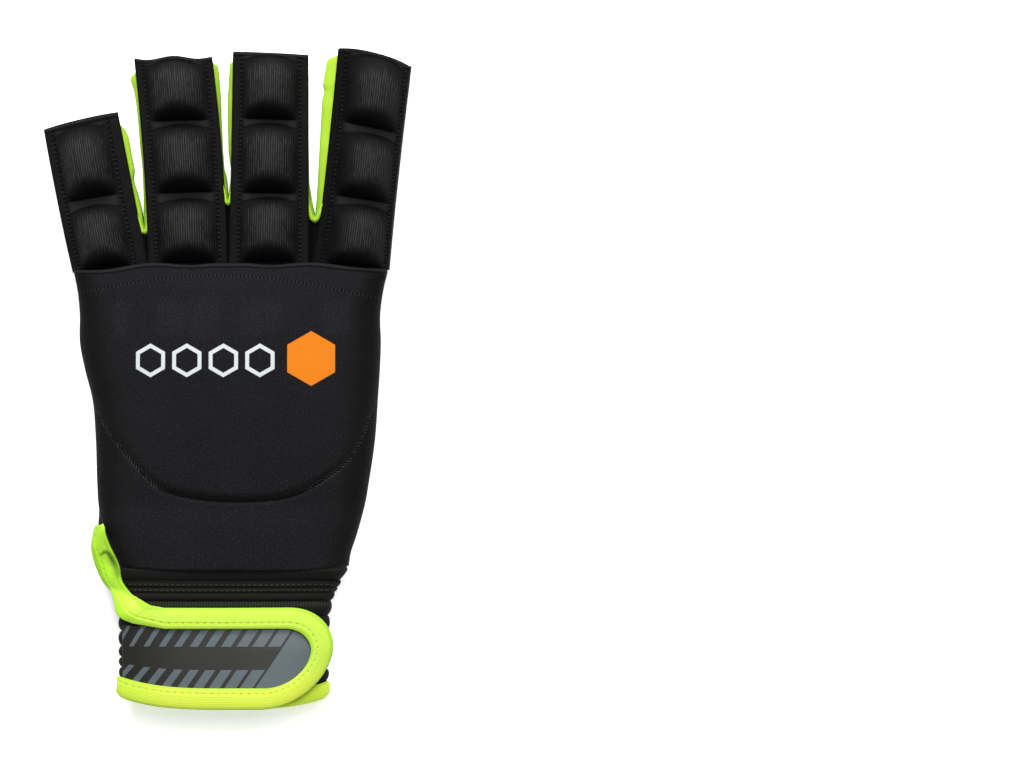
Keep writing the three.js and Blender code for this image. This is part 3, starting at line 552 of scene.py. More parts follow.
# Back of the hand: one panel of jersey-faced foam from side seam to side seam. The thicker pad in
# it ends in a stitched curve, and its upper hem laps over the bases of the finger strips.
BACK_WALL = 2.6
PAD_RISE = 1.14
PAD_LINE = np.array([
    (-52, 3), (-42.1, -8.3), (-38.3, -15.9), (-33.1, -22.2), (-27.1, -29.3), (-21.3, -35.2), (-14.6, -37.4),
    (-6.9, -38.7), (2.7, -39.4), (13.9, -39.0), (21.3, -37.8), (27.4, -35.2), (32.5, -31.7), (37.9, -27.8),
    (42.4, -21.1), (45.3, -14.4), (47.5, -8.3), (54, 4),
])
TOPSTITCH = np.array([
    (-60, 24.8), (-47.7, 27), (-36.9, 28.9), (-19.7, 31.9), (3.4, 33), (25.1, 30.4), (40, 27), (50.4, 25.2),
    (60, 23.4),
])
KNUCKLE_RISE = 0.7
KNUCKLE_HEM = rows_of(
    "x dy",
    (-49, 0.3), (-38, 0.6), (-25, 2.6), (-10, 2.1), (1, 2.9), (15, 2.1), (28, 2.8), (40, 1.5),
    (52, 0.6),
)
FOAM = ((-33.1, 2.2), (-17.4, 4.4), (-5.9, 4.6), (12.0, 6.2), (35.7, 4.4))
EMBLEM_Y = 5.6
EMBLEM_RING_X = (-23.4, -11.8, -0.2, 11.4)
EMBLEM_RING = 4.7
EMBLEM_DOT_X = 27.6
EMBLEM_DOT = 7.6


def smooth_line(line, turns=2):
    """Rounds a line's corners."""
    for _ in range(turns):
        cut = np.stack([slide(line[:-1], line[1:], 0.25), slide(line[:-1], line[1:], 0.75)], axis=1)
        line = np.concatenate([line[:1], cut.reshape(-1, 2), line[-1:]])
    return line


def beside(x, y, line):
    """Each place's distance from a line, positive on its left, and how far along the line it is."""
    starts, steps = line[:-1], np.diff(line, axis=0)
    lengths = np.linalg.norm(steps, axis=1)
    before = np.concatenate([[0], np.cumsum(lengths)[:-1]])
    best = np.full(x.shape, 1e9)
    run = np.zeros(x.shape)
    for start, step, length, so_far in zip(starts, steps, lengths, before):
        dx, dy = x - start[0], y - start[1]
        share = np.clip((dx * step[0] + dy * step[1]) / length**2, 0, 1)
        far = np.hypot(dx - share * step[0], dy - share * step[1])
        side = np.where(step[0] * dy - step[1] * dx < 0, -1, 1)
        nearer = far < np.abs(best)
        best = np.where(nearer, far * side, best)
        run = np.where(nearer, so_far + share * length, run)
    return best, run


def root_curve(value, power):
    return np.sign(value) * np.abs(value) ** (2 / power)


def back_surface(row, angle):
    """The outer face of the back, by a row along the hand and a turn round its dome."""
    left, right = read(HAND, "y", "left", row), read(HAND, "y", "right", row)
    power = read(HAND, "y", "power", row)
    seam = read(HAND, "y", "seam", row) + SEAM
    x = (left + right) / 2 + (right - left) / 2 * root_curve(np.cos(angle), power)
    y = row + read(KNUCKLE_HEM, "x", "dy", x) * ease(row, FLARE_FROM, HAND_TOP)
    middling = 1 - np.clip(np.abs(2 * x - left - right) / (right - left), 0, 1) ** 5
    y = y + (0.2 - 2.0 * middling) * ease(-row, 48, -HAND_BOTTOM)
    dome = (read(HAND, "y", "top", row) - seam) * root_curve(np.sin(angle), power)
    off, run = beside(x, y, smooth_line(PAD_LINE))
    pad = PAD_RISE * ease(off, -0.2, 3.0) * (1 - ease(y, 12, 33))
    groove = -0.6 * np.exp(-((off / 0.55) ** 2)) * (1 - ease(y, -8, 2))
    side = np.abs(x - 4) / 46.5
    ridges = 0.5 - 0.5 * np.cos((x + 49) / 25 * 2 * math.pi)
    knuckles = KNUCKLE_RISE * ridges * read(HAND, "y", "knuckles", row) * np.clip(1 - side**4, 0, 1)
    fade = np.sqrt(np.clip(np.sin(angle), 0, 1))
    return np.stack([x, y, seam + dome + (pad + groove + knuckles) * fade], axis=-1), off, run


def hexagon(x, y, centre_x, centre_y):
    """Distance from a hexagon's centre towards its nearest side."""
    dx, dy = (x - centre_x).math("ABSOLUTE"), (y - centre_y).math("ABSOLUTE")
    return dx.math("MAXIMUM", dx * 0.5 + dy * 0.866)


def jersey_look(tree, surface, across, along):
    painted_shading, pad_off, pad_run, hem_off, row_off, row_run, outer = (
        painted(tree, name)
        for name in ("painted_shading", "pad_off", "pad_run", "hem_off", "row_off", "row_run", "outer")
    )
    wales = wave(across, 0.5)
    fuzz = noise(tree, surface, 3.4, 4.0, 0.6)
    cloud = noise(tree, surface, 0.05, 2.0)
    dark = mix_colour(cloud, (0.0046, 0.0044, 0.0052, 1), (0.008, 0.0076, 0.0089, 1))
    flecks = noise(tree, surface, 1.7, 4.0, 0.7).between(0.5, 0.72)
    colour = mix_colour(flecks * 0.85, dark, (0.025, 0.0245, 0.027, 1))
    # Painted light and shade: the jersey goes towards near black where the painted shading value is low.
    colour = mix_colour(1 - painted_shading, colour, (0.0006, 0.0006, 0.0007, 1))
    # Along the upper hem: painted shade in the groove 1.25 mm below the edge, and a painted highlight on the
    # rolled edge.
    hem_groove_shade = 1 - (hem_off - 1.25).math("ABSOLUTE").between(0.1, 0.3)
    hem_roll_highlight = 1 - hem_off.between(0.5, 1.1)
    colour = mix_colour(hem_roll_highlight * 0.3, colour, (0.02, 0.02, 0.022, 1))
    colour = mix_colour(hem_groove_shade * 0.85, colour, (0.0006, 0.0006, 0.0008, 1))
    shaded_holes = dots(row_run, row_off, 1.25, 0.36)
    threads = dots(row_run + 0.62, row_off, 1.25, 0.34)
    colour = mix_colour(threads * 0.35, colour, (0.028, 0.028, 0.03, 1))
    # Painted shade in the stitch holes.
    colour = mix_colour(shaded_holes * 0.75, colour, (0.0008, 0.0008, 0.001, 1))
    # Painted shade in the groove along the pad's stitched edge.
    pad_groove_shade = 1 - pad_off.math("ABSOLUTE").between(0.2, 0.55)
    colour = mix_colour(pad_groove_shade * 0.8, colour, (0.0008, 0.0008, 0.001, 1))
    x, y = plan(tree)
    slanting = ((pad_run + pad_off * 0.8) / 1.15).math("FRACT")
    dash = slanting.between(0.08, 0.2) * (1 - slanting.between(0.4, 0.55))
    dash = dash * (1 - pad_off.math("ABSOLUTE").between(0.75, 0.95)) * y.between(-36.5, -34.5)
    dash = dash * noise(tree, surface, 0.5, 1.0).between(0.3, 0.5)
    colour = mix_colour(dash * 0.55, colour, (0.05, 0.05, 0.052, 1))
    rings = 0.0
    for ring_x in EMBLEM_RING_X:
        reach = hexagon(x, y, ring_x, EMBLEM_Y)
        past_inner = reach.between(EMBLEM_RING - 1.35, EMBLEM_RING - 1.2)
        rings = past_inner * (1 - reach.between(EMBLEM_RING - 0.1, EMBLEM_RING)) + rings
    disc = 1 - hexagon(x, y, EMBLEM_DOT_X, EMBLEM_Y + 0.6).between(EMBLEM_DOT - 0.1, EMBLEM_DOT)
    ink = noise(tree, surface, 1.8, 3.0)
    colour = mix_colour(rings * outer, colour, (0.43, 0.45, 0.46, 1))
    colour = mix_colour(disc * outer, colour, mix_colour(ink, (0.49, 0.13, 0.006, 1), (0.53, 0.15, 0.009, 1)))
    height = wales * 0.25 + fuzz * 0.6 - shaded_holes * 1.2 - hem_groove_shade * 1.0 + dash * 1.2
    return {"Base Color": colour, "Roughness": 0.85, "Specular IOR Level": 0.08}, height, 0.2


def dots(along, off_row, pitch, radius):
    """Round stitch holes on a line: off_row is the distance from the line."""
    phase = ((along / pitch).math("FRACT") - 0.5) * pitch
    reach = (phase * phase + off_row * off_row).math("SQRT")
    return 1 - reach.between(radius * 0.6, radius * 1.2)


def paint_values(piece, name, values, inner=None):
    """Stores one number for each grid point, for the material. The wall's inner side may differ."""
    layer = piece.data.attributes.new(name, "FLOAT", "POINT")
    outside = values.ravel().astype(float)
    inside = outside if inner is None else np.full(outside.shape, float(inner))
    sides = [outside] + [inside] * (len(layer.data) // values.size - 1)
    layer.data.foreach_set("value", np.concatenate(sides))


back_rows = np.concatenate([np.linspace(HAND_BOTTOM, 30, 160), np.linspace(30, HAND_TOP, 16)[1:]])
back_turns = np.linspace(math.pi, 0, 170)
back_points, pad_off, pad_run = back_surface(back_rows[:, None], back_turns[None, :])
back_points[-1, :, 2] -= 0.7
back_points[-2, :, 2] -= 0.15
back_points[0, :, 2] -= 1.1
back_points[1, :, 2] -= 0.25
back = cloth_piece("hand_back", back_points, walked(back_points), BACK_WALL)
back_x, back_y = back_points[..., 0], back_points[..., 1]
row_off, row_run = beside(back_x, back_y, smooth_line(TOPSTITCH))
out_side = np.abs(np.cos(back_turns))[None, :]
# Painted light and shade on the back: darker where the dome turns down at both sides, lighter towards the
# lower edge below the pad, and lighter on the knuckle foam bumps.
painted_shading = 0.76 - 0.62 * ease(out_side, 0.66, 0.96) + 0.26 * ease(-back_y, 36, 46)
for foam_x, foam_half in FOAM:
    near = np.exp(-(((back_x - foam_x) / foam_half) ** 4)) * np.exp(-(((back_y - 18.9) / 5.5) ** 4))
    painted_shading = painted_shading + 0.38 * near
paint_values(back, "painted_shading", painted_shading)
turned = np.gradient(back_points, axis=1)
steep = np.linalg.norm(turned, axis=2) / np.maximum(np.linalg.norm(turned[..., :2], axis=2), 1e-6)
paint_values(back, "pad_off", pad_off * np.clip(steep, 1, 3))
paint_values(back, "pad_run", pad_run)
paint_values(back, "hem_off", back_points[-1:, :, 1] - back_y)
paint_values(back, "row_off", row_off)
paint_values(back, "row_run", row_run)
paint_values(back, "outer", np.ones(back_x.shape), inner=0)
settle(back, finish_material("padded_jersey", jersey_look), "back_panel")


# Finger strips: fine-wale knit over a row of foam blocks, each sewn down all round, hemmed at the
# tip. Every block has a steep face towards the wrist. The index strip also wraps down its outer
# side to the palm.
BLOCK_RISE = 7.2
BLOCK_CREST = 7.6
BLOCK_BOW = 1.7
TIP_HEM = 1.5
STITCH_PITCH = 1.4
STRIP_FACE_WALL = 1.2
BLOCKS = dict(
    pinky=dict(
        rows=((0.3, 20.8), (23.2, 45.0)), left=2.9, right=4.6, crest=0.45, stitch_left=2.5, stitch_right=3.9,
        arch=0.5,
    ),
    ring=dict(
        rows=((0.3, 20.9), (22.8, 44.6), (45.8, 64.9)), left=3.1, right=2.9, crest=0.52, stitch_left=2.6,
        stitch_right=2.4, arch=0.2, ripple=0.5,
    ),
    middle=dict(
        rows=((0.3, 21.2), (22.5, 45.0), (46.3, 66.7)), left=3.3, right=3.5, crest=0.5, stitch_left=3.0,
        stitch_right=2.9, arch=0.2,
    ),
    # lean: how far the painted dark lens on the index blocks grows towards the strip's right side.
    index=dict(
        rows=((0.2, 21.0), (22.9, 44.7), (46.7, 68.6)), left=3.6, right=1.2, crest=0.62, stitch_left=3.1,
        stitch_right=1.1, arch=1.5, lean=0.75,
    ),
)
INDEX_WRAP = rows_of(
    "step out height",
    (0, 0.0, 1.0),
    (1, 0.5, 0.72),
    (2, 0.3, 0.36),
    (3, -1.3, 0.11),
    (4, -3.4, 0.0),
    (5, -5.9, 0.0),
)


def block_relief(blocks, along, width, across):
    """Height of the foam blocks at places along and across a strip, the painted light and shade on them, and
    the painted light on the flat bands between them.
    """
    crest = blocks["crest"] * width
    left, right = crest - blocks["left"], width - blocks["right"] - crest
    side = np.clip(np.where(across < crest, (crest - across) / left, (across - crest) / right), 0, 1)
    crown = (1 - side**2.2) ** 1.1
    light_across = 1 - 0.42 * side**1.8
    # taper skews the painted dark lens on each block across the strip, as far as the lean setting says.
    taper = slide(side, 1 - across / width, blocks.get("lean", 0.0))
    relief = np.zeros(np.broadcast(along, across).shape)
    painted_light = np.full(relief.shape, 0.5)
    # band: painted light on the flat cloth between and beside the blocks.
    band = np.broadcast_to(ease(1 - side, 0.0, 0.2) * (along < blocks["rows"][-1][1]), relief.shape)
    for start, end in blocks["rows"]:
        end = end - BLOCK_BOW * side**2
        behind = np.clip((along - start) / (BLOCK_CREST * (1 - 0.5 * side**2)), 0, 1)
        ahead = np.clip((along - start - BLOCK_CREST) / (end - start - BLOCK_CREST), 0, 1)
        dome = BLOCK_RISE * crown * (1 - (1 - behind) ** 2) * (1 - ahead**2.3)
        inside = (along > start) & (along < end)
        relief = np.where(inside, dome, relief)
        share = (along - start) / (end - start)
        # Painted light and shade on each block: near black on its face towards the wrist, lightest a little
        # past its middle, darker again towards its tip end, and darker towards its sides.
        light_along = ease(share, -0.05, 0.46 - 0.3 * taper**2) * (1 - 0.6 * ease(share, 0.75, 1.0))
        on_block = ease(1 - side, 0.0, 0.3)
        painted_light = np.where(inside, slide(0.5, light_along * light_across, on_block), painted_light)
        shade = np.exp(-(((along - end) / 0.4) ** 2)) * ease(1 - side, 0.0, 0.05)
        painted_light = painted_light * (1 - 0.8 * shade)
        band = np.where(inside, 0.0, band * (1 - shade))
    return relief, painted_light, band


def strip_points(finger):
    blocks = BLOCKS[finger["name"]]
    length = math.dist(finger["left"][0], finger["left"][2])
    width = math.dist(finger["left"][0], finger["right"][0])
    share = np.linspace(0, 1, int(length / 0.3))[:, None]
    across = np.linspace(0, 1, 84)[None, :]
    left, right = edge(finger["left"], share), edge(finger["right"], share)
    flat = left + (right - left) * across[..., None]
    if finger["name"] == "index":
        flat[..., 0] -= 0.9 * (1 - ease(share, 0.0, 0.25)) * (1 - across)
    arch = blocks["arch"] * (1 - np.abs(2 * across - 1) ** 2.4) * ease(share, 0.9, 1)
    flat[..., 1] += arch
    ripple = np.cos((across - 0.5) * 2 * math.pi * 1.6) * ease(share, 0.93, 1)
    flat[..., 1] += blocks.get("ripple", 0.0) * ripple
    relief, painted_light, band = block_relief(blocks, share * length, width, across * width)
    # Painted shade on the index strip's left flank.
    if finger["name"] == "index":
        painted_light = painted_light * (0.5 + 0.42 * ease(across, 0.18, 0.5))
    off_row = np.minimum(
        np.abs(across * width - blocks["stitch_left"]),
        np.abs((1 - across) * width - blocks["stitch_right"]),
    )
    groove = -0.3 * np.exp(-((off_row / 0.5) ** 2))
    tip_roll = -0.9 * ease(share * length, length - 1.2, length) ** 2
    tip_line = np.exp(-(((share * length - length + TIP_HEM) / 0.25) ** 2))
    edge_roll = -0.45 * ease(np.abs(across - 0.5) * 2, 0.93, 1.0)
    # Painted shade along the tip hem's line, and painted light on the rolled tip.
    painted_light = painted_light * (1 - 0.55 * tip_line) + 0.2 * ease(share * length, length - 1.2, length - 0.6)
    height = strip_height(finger, share, across) + relief + groove + tip_roll + edge_roll - 0.25 * tip_line
    points = np.concatenate([flat, height[..., None]], axis=2)
    uv = np.stack(np.broadcast_arrays((across - 0.5) * width, share * length), axis=2)
    if finger["name"] == "index":
        steps = np.linspace(0, 5, 34)[1:]
        top = strip_height(finger, share, 1.0)[..., 0]
        side = edge(finger["right"], share[:, 0])
        x = side[:, 0][:, None] + read(INDEX_WRAP, "step", "out", steps)[None, :]
        z = np.maximum(read(INDEX_WRAP, "step", "height", steps)[None, :] * top[:, None], FLOOR_GAP)
        y = np.broadcast_to(side[:, 1][:, None], x.shape)
        points = np.concatenate([points, np.stack([x, y, z], axis=2)], axis=1)
        wrap_uv = np.stack(np.broadcast_arrays(width / 2 + steps[None, :] * 4.2, share * length), axis=2)
        uv = np.concatenate([uv, wrap_uv], axis=1)
        # The side that wraps down is painted darker.
        painted_light = np.concatenate([painted_light, np.full((len(share), len(steps)), 0.3)], axis=1)
        band = np.concatenate([band, np.zeros((len(share), len(steps)))], axis=1)
    return points, np.array(uv), painted_light, band, width


def wale_knit(left_row, right_row):
    """The strips' knit. The stitch rows run at these places across the cloth, if there are any."""

    def look(tree, surface, across, along):
        painted_light = painted(tree, "painted_light")
        drift = (noise(tree, surface, 0.25, 2.0) - 0.5) * 0.5
        wales = wave(across + drift, 0.75).math("POWER", 3.2)
        drawn_out = {0: surface, 3: (1.0, 0.22, 1.0)}
        long_way = node(tree, "ShaderNodeMapping", {"vector_type": "POINT"}, drawn_out)
        broken = noise(tree, long_way, 1.3, 3.0).between(0.36, 0.68)
        fuzz = noise(tree, surface, 2.6, 3.0, 0.65)
        # Painted light: the wales, the flecks and the lighter tone grow with the painted light value; where
        # it is low the knit stays near black.
        opened = painted_light.between(0.42, 1.0, smooth=False)
        pale = painted_light * (wales * (broken * 0.85 + 0.15) * 2.7 * opened + fuzz * 0.4 + 0.08)
        pale = pale + noise(tree, surface, 1.7, 2.0).between(0.64, 0.78) * painted_light * 1.3
        colour = mix_colour(pale, (0.0003, 0.0003, 0.0003, 1), (0.0215, 0.0215, 0.021, 1))
        # Painted light on the flat bands between the blocks.
        band = painted(tree, "band")
        colour = mix_colour(band * (fuzz * 0.3 + 0.25), colour, (0.021, 0.0208, 0.02, 1))
        height = wales * 0.5 + fuzz * 0.4
        if left_row is not None:
            off_left = (across - left_row).math("ABSOLUTE")
            off_row = off_left.math("MINIMUM", (across - right_row).math("ABSOLUTE"))
            shaded_holes = dots(along, off_row, STITCH_PITCH, 0.5)
            uneven = noise(tree, surface, 0.9, 1.0).between(0.3, 0.65)
            threads = dots(along + STITCH_PITCH / 2, off_row, STITCH_PITCH, 0.36)
            colour = mix_colour(threads * uneven * 0.6, colour, (0.02, 0.02, 0.02, 1))
            # Painted shade in the stitch holes.
            colour = mix_colour(shaded_holes * (uneven * 0.55 + 0.4), colour, (0.0006, 0.0009, 0.0009, 1))
            height = height - shaded_holes * 1.6
        return {"Base Color": colour, "Roughness": 0.8, "Specular IOR Level": 0.06}, height, 0.16

    return look


for finger in FINGERS:
    strip_grid, strip_uv, strip_painted_light, strip_gap_light, strip_width = strip_points(finger)
    strip = cloth_piece("strip_" + finger["name"], strip_grid, strip_uv, 0)
    paint_values(strip, "painted_light", strip_painted_light)
    paint_values(strip, "band", strip_gap_light)
    modify(strip, "SOLIDIFY", thickness=STRIP_FACE_WALL * MM, offset=-1, use_even_offset=False)
    rows = BLOCKS[finger["name"]]
    look = wale_knit(rows["stitch_left"] - strip_width / 2, strip_width / 2 - rows["stitch_right"])
    knit = finish_material("wale_knit_" + finger["name"], look)
    settle(strip, knit, "finger_strip_" + finger["name"])


# Knuckle base: the thin black knit that the finger strips are sewn to. It comes out from under the
# back's hem, shows in the narrow wedges between the strips and ends round each crotch.
KNUCKLE_FRONT = rows_of(
    "x y",
    (-50, 35.8), (-43.4, 35.8), (-42, 43.8), (-25, 46.3), (-12, 49), (0.8, 55.7), (14, 53), (28, 50.3),
    (40, 46), (45, 44), (46.4, 35.8), (53, 35.8),
)
KNUCKLE_TUCK = (32.2, 35.0)
KNUCKLE_WALL = 1.0
CROTCH_BACK = 1.6
CROTCH_TURN = 5.4


def crotch_notch(crotch, left, right, opened, low):
    """How far up a crotch is at a share of its opening, its middle line, and half the gap there."""
    y = low + CROTCH_TURN * opened**1.25
    from_x = edge(left["right"], share_at(left["right"], y))[:, 0]
    to_x = edge(right["left"], share_at(right["left"], y))[:, 0]
    return y, (from_x + to_x) / 2, (to_x - from_x) / 2


def knuckle_front(x):
    """The knit's front edge: between two strips it follows the gusset up both sides of the crotch."""
    front = read(KNUCKLE_FRONT, "x", "y", x)
    for crotch, left, right in zip(CROTCHES, FINGERS[:-1], FINGERS[1:]):
        opened = np.linspace(0, 1, 12)
        y, middle, half = crotch_notch(crotch, left, right, opened, crotch["back_y"] + CROTCH_BACK)
        reach = (half + 0.3) * opened
        edge_x = np.concatenate([[middle[-1] - reach[-1] - 3], (middle - reach)[::-1], (middle + reach)[1:],
                                 [middle[-1] + reach[-1] + 3]])
        edge_y = np.concatenate([[0], y[::-1], y[1:], [0]]) - 0.4
        front = np.maximum(front, np.interp(x, edge_x, edge_y, left=0, right=0))
    return front


def knuckle_grid():
    """The knit comes down from the underside of the back's hem and runs on under the strips."""
    parts = [np.linspace(-47.6, -42, 10)[:-1], np.linspace(-42, 45, 280), np.linspace(45, 50.2, 9)[1:]]
    x = np.concatenate(parts)[None, :]
    share = (np.linspace(0, 1, 34) ** 1.3)[:, None]
    y = slide(KNUCKLE_TUCK[0], knuckle_front(x), share)
    hem = HAND[-1]
    side = np.clip(np.abs(2 * x - hem["left"] - hem["right"]) / (hem["right"] - hem["left"]), 0, 1)
    dome = (hem["top"] - hem["seam"]) * (1 - side ** hem["power"]) ** (1 / hem["power"])
    under = hem["seam"] + dome - BACK_WALL + 1.0
    low = np.minimum(strip_height(FINGERS[0], 0.3) - 0.75, under - 1.3)
    height = slide(under, low, ease(y, KNUCKLE_TUCK[0], KNUCKLE_TUCK[1]))
    return np.stack(np.broadcast_arrays(x, y, height), axis=2)


knuckle_points = np.array(knuckle_grid())
knuckle = cloth_piece("knuckle_knit", knuckle_points, walked(knuckle_points), KNUCKLE_WALL)
settle(knuckle, finish_material("knuckle_knit", wale_knit(None, None)), "knuckle_base")


# Gussets: bright stretch cloth between the fingers, down one finger's side, round the crotch and
# up the next, sewn to the strips above and to the palm below.
GUSSET_WALL = 1.2
GUSSET_CLEAR = 0.25
PALM_TURN = 3.2
CROTCH_FOLD = 1.3
GUSSET_SHOWS = dict(
    pinky_ring=(
        [(53, 1.4), (58.6, 1.0), (63.4, 0.5), (66.6, 1.45), (71, 1.4), (77, 1.6), (79.5, 1.0), (81, -0.2)],
        [(53, 1.2), (57, 0.9), (66.6, 0.7), (75, 0.95), (82, 0.9), (88, 1.0), (92, 1.3), (95, 2.0),
         (96.5, 1.7), (98, -0.2)],
    ),
    ring_middle=(
        [(57, 1.0), (59, 1.0), (64.5, 0.6), (67, 0.0), (73, 0.0), (78, 0.25), (83.5, 0.5), (88, 0.9),
         (97, 1.3), (100, 1.2), (101, -0.2)],
        [(57, 0.5), (60, 0.3), (66.5, 0.1), (69.5, 0.6), (73, 1.05), (80, 1.4), (89, 1.6), (100.5, 1.1),
         (101.6, -0.2)],
    ),
    middle_index=(
        [(52, 1.0), (56, 0.9), (60, 0.4), (62, 0.0), (75, -0.2), (101, -0.2)],
        [(51, 1.2), (54, 1.8), (59.3, 2.1), (70.4, 3.4), (74, 4.2), (77, 3.1), (85.5, 3.6), (86.7, 3.9),
         (91.8, 3.2), (93.5, 3.9), (101.5, 3.3), (102.5, 2.4), (103.3, -0.2)],
    ),
)


def gusset_grid(left, right, crotch):
    """The gusset's face towards the gap. GUSSET_SHOWS holds how far it shows beside each strip, by y."""
    level = np.linspace(0, 1, 20)
    bulge = ease(level, 0.0, 0.55) * (1 - ease(level, 0.8, 1.0))
    low = slide(crotch["palm_y"], crotch["back_y"] + CROTCH_BACK, level) + CROTCH_FOLD * bulge
    turn_height = slide(PALM_TURN, CROTCH_TURN, level)
    rows = []
    stations = [("left", reach, None) for reach in np.linspace(1, 0, 90)[:-1]]
    stations += [("left", 0, turn) for turn in np.linspace(math.pi / 2, 0, 14)]
    stations += [("right", 0, turn) for turn in np.linspace(0, math.pi / 2, 14)[1:]]
    stations += [("right", reach, None) for reach in np.linspace(0, 1, 90)[1:]]
    for side, reach, turn in stations:
        finger, own = (left, left["right"]) if side == "left" else (right, right["left"])
        inset = left["inset_right"] if side == "left" else right["inset_left"]
        inwards = -1 if side == "left" else 1
        shows = np.array(GUSSET_SHOWS[crotch["name"]][0 if side == "left" else 1])
        if turn is None:
            y, close = slide(low + turn_height, shows[-1, 0], reach), 1.0
        else:
            opened = turn / (math.pi / 2)
            y = low + turn_height * slide(1 - math.cos(turn), opened**1.25, level)
            close = slide(math.sin(turn), opened, level)
        share = share_at(own, y)
        x = edge(own, share)[:, 0]
        show = np.interp(y, shows[:, 0], shows[:, 1])
        out = slide(slide(-(inset - SEAM * 2), show, ease(level, 0.0, 0.55)), -0.3, ease(level, 0.8, 1.0))
        middle = (edge(left["right"], share_at(left["right"], y))[:, 0]
                  + edge(right["left"], share_at(right["left"], y))[:, 0]) / 2
        lower = np.minimum(strip_height(left, share), strip_height(right, share))
        top = slide(lower, strip_height(finger, share), min(reach * 6, 1)) - 1.2
        z = slide(PALM_WALL * 0.5, top + 0.1 + 0.8 * max(1 - reach * 6, 0), level)
        reach_x = inwards * np.maximum(inwards * (x - inwards * out), inwards * middle + GUSSET_CLEAR)
        rows.append(np.stack([slide(middle, reach_x, close), y, z], axis=1))
    return np.stack(rows)


def lime_look(tree, surface, across, along):
    weave = wave(across, 0.45) * wave(along, 0.45)
    shade = noise(tree, surface, 0.15, 2.0)
    colour = mix_colour(shade, (0.24, 0.42, 0.022, 1), (0.31, 0.47, 0.035, 1))
    # deep: painted shade, a darker green round the crotch and lower down.
    deep = painted(tree, "deep")
    colour = mix_colour(deep, colour, (0.075, 0.2, 0.008, 1))
    height = weave * 0.5 + noise(tree, surface, 1.6, 3.0) * 0.5
    return {"Base Color": colour, "Roughness": 0.7}, height, 0.08


lime_material = finish_material("lime_stretch_cloth", lime_look)
for crotch, left_finger, right_finger in zip(CROTCHES, FINGERS[:-1], FINGERS[1:]):
    gusset_points = gusset_grid(left_finger, right_finger, crotch)
    gusset = cloth_piece("gusset_cloth_" + crotch["name"], gusset_points, walked(gusset_points), GUSSET_WALL)
    # Painted shade on the gusset: darker green round the crotch and lower down.
    far = np.abs(np.linspace(-1, 1, len(gusset_points)))[:, None]
    upwards = np.linspace(0, 1, gusset_points.shape[1])[None, :]
    deep = 0.6 * (1 - ease(far, 0.1, 0.42)) + 0.7 * np.exp(-((far / 0.1) ** 2))
    deep = deep * (1.2 - ease(upwards, 0.72, 0.95))
    paint_values(gusset, "deep", np.clip(deep, 0, 1))
    settle(gusset, lime_material, "gusset_" + crotch["name"])
    beside_it = ["palm", "strip_" + left_finger["name"], "strip_" + right_finger["name"]]


# Cuff: a loop of thick black rib knit, sewn to the back and the palm. One broad rib starts under the
# back's hem, three fine ones follow, two of them with a row of dashed stitches, then six broad ones.
# The lower edge rises towards both sides.
CUFF = rows_of(
    "y left right top",
    (-60.5, -34.6, 39.3, 21.2),
    (-65.0, -34.6, 36.9, 20.8),
    (-69.5, -34.5, 34.6, 20.8),
    (-74.0, -34.5, 33.6, 21.0),
    (-80.0, -34.5, 33.0, 21.2),
    (-106.0, -34.3, 33.0, 21.2),
)
CUFF_TOP = -60.5
CUFF_BOTTOM = -100.2
RIB_VALLEYS = np.concatenate([[-56.5, -64.7, -66.9, -68.4], np.linspace(-71.0, CUFF_BOTTOM, 7)])
DASH_ROWS = (-65.9, -67.7)
RIB_DEPTH = 1.2
CUFF_POWER = 2.8
CUFF_WALL = 2.2
HEM_WIDTH = 5.2
HEM_RISE = 4.0
HEM_RISE_FROM = -84.0


def hem_lift(x, y):
    share = np.clip(np.abs(x) / 34, 0, 1) ** 3
    return HEM_RISE * share * ease(-np.asarray(y), -HEM_RISE_FROM, -CUFF_BOTTOM)


def cuff_surface(angle, y, out, spread=0.0):
    """The cuff's loop at a place along the wrist, moved outwards by a distance."""
    left, right = read(CUFF, "y", "left", y), read(CUFF, "y", "right", y)
    half = read(CUFF, "y", "top", y) / 2
    reach = (right - left) / 2 + out + spread
    x = (left + right) / 2 + reach * root_curve(np.cos(angle), CUFF_POWER)
    z = half + (half + out) * root_curve(np.sin(angle), CUFF_POWER)
    lift = np.where(spread * np.cos(angle) > 0, 0, hem_lift(x, y))
    return np.stack(np.broadcast_arrays(x, y + lift, z), axis=-1)


def rib_depth(y):
    """How deep each place lies below the ribs' crests."""
    rib = np.clip(np.searchsorted(-RIB_VALLEYS, -y, side="right") - 1, 0, len(RIB_VALLEYS) - 2)
    phase = (RIB_VALLEYS[rib] - y) / (RIB_VALLEYS[rib] - RIB_VALLEYS[rib + 1])
    deep = np.minimum(RIB_DEPTH, (RIB_VALLEYS[rib] - RIB_VALLEYS[rib + 1]) * 0.3)
    return -deep * (1 - np.abs(np.sin(math.pi * np.clip(phase, 0, 1))) ** 0.55)


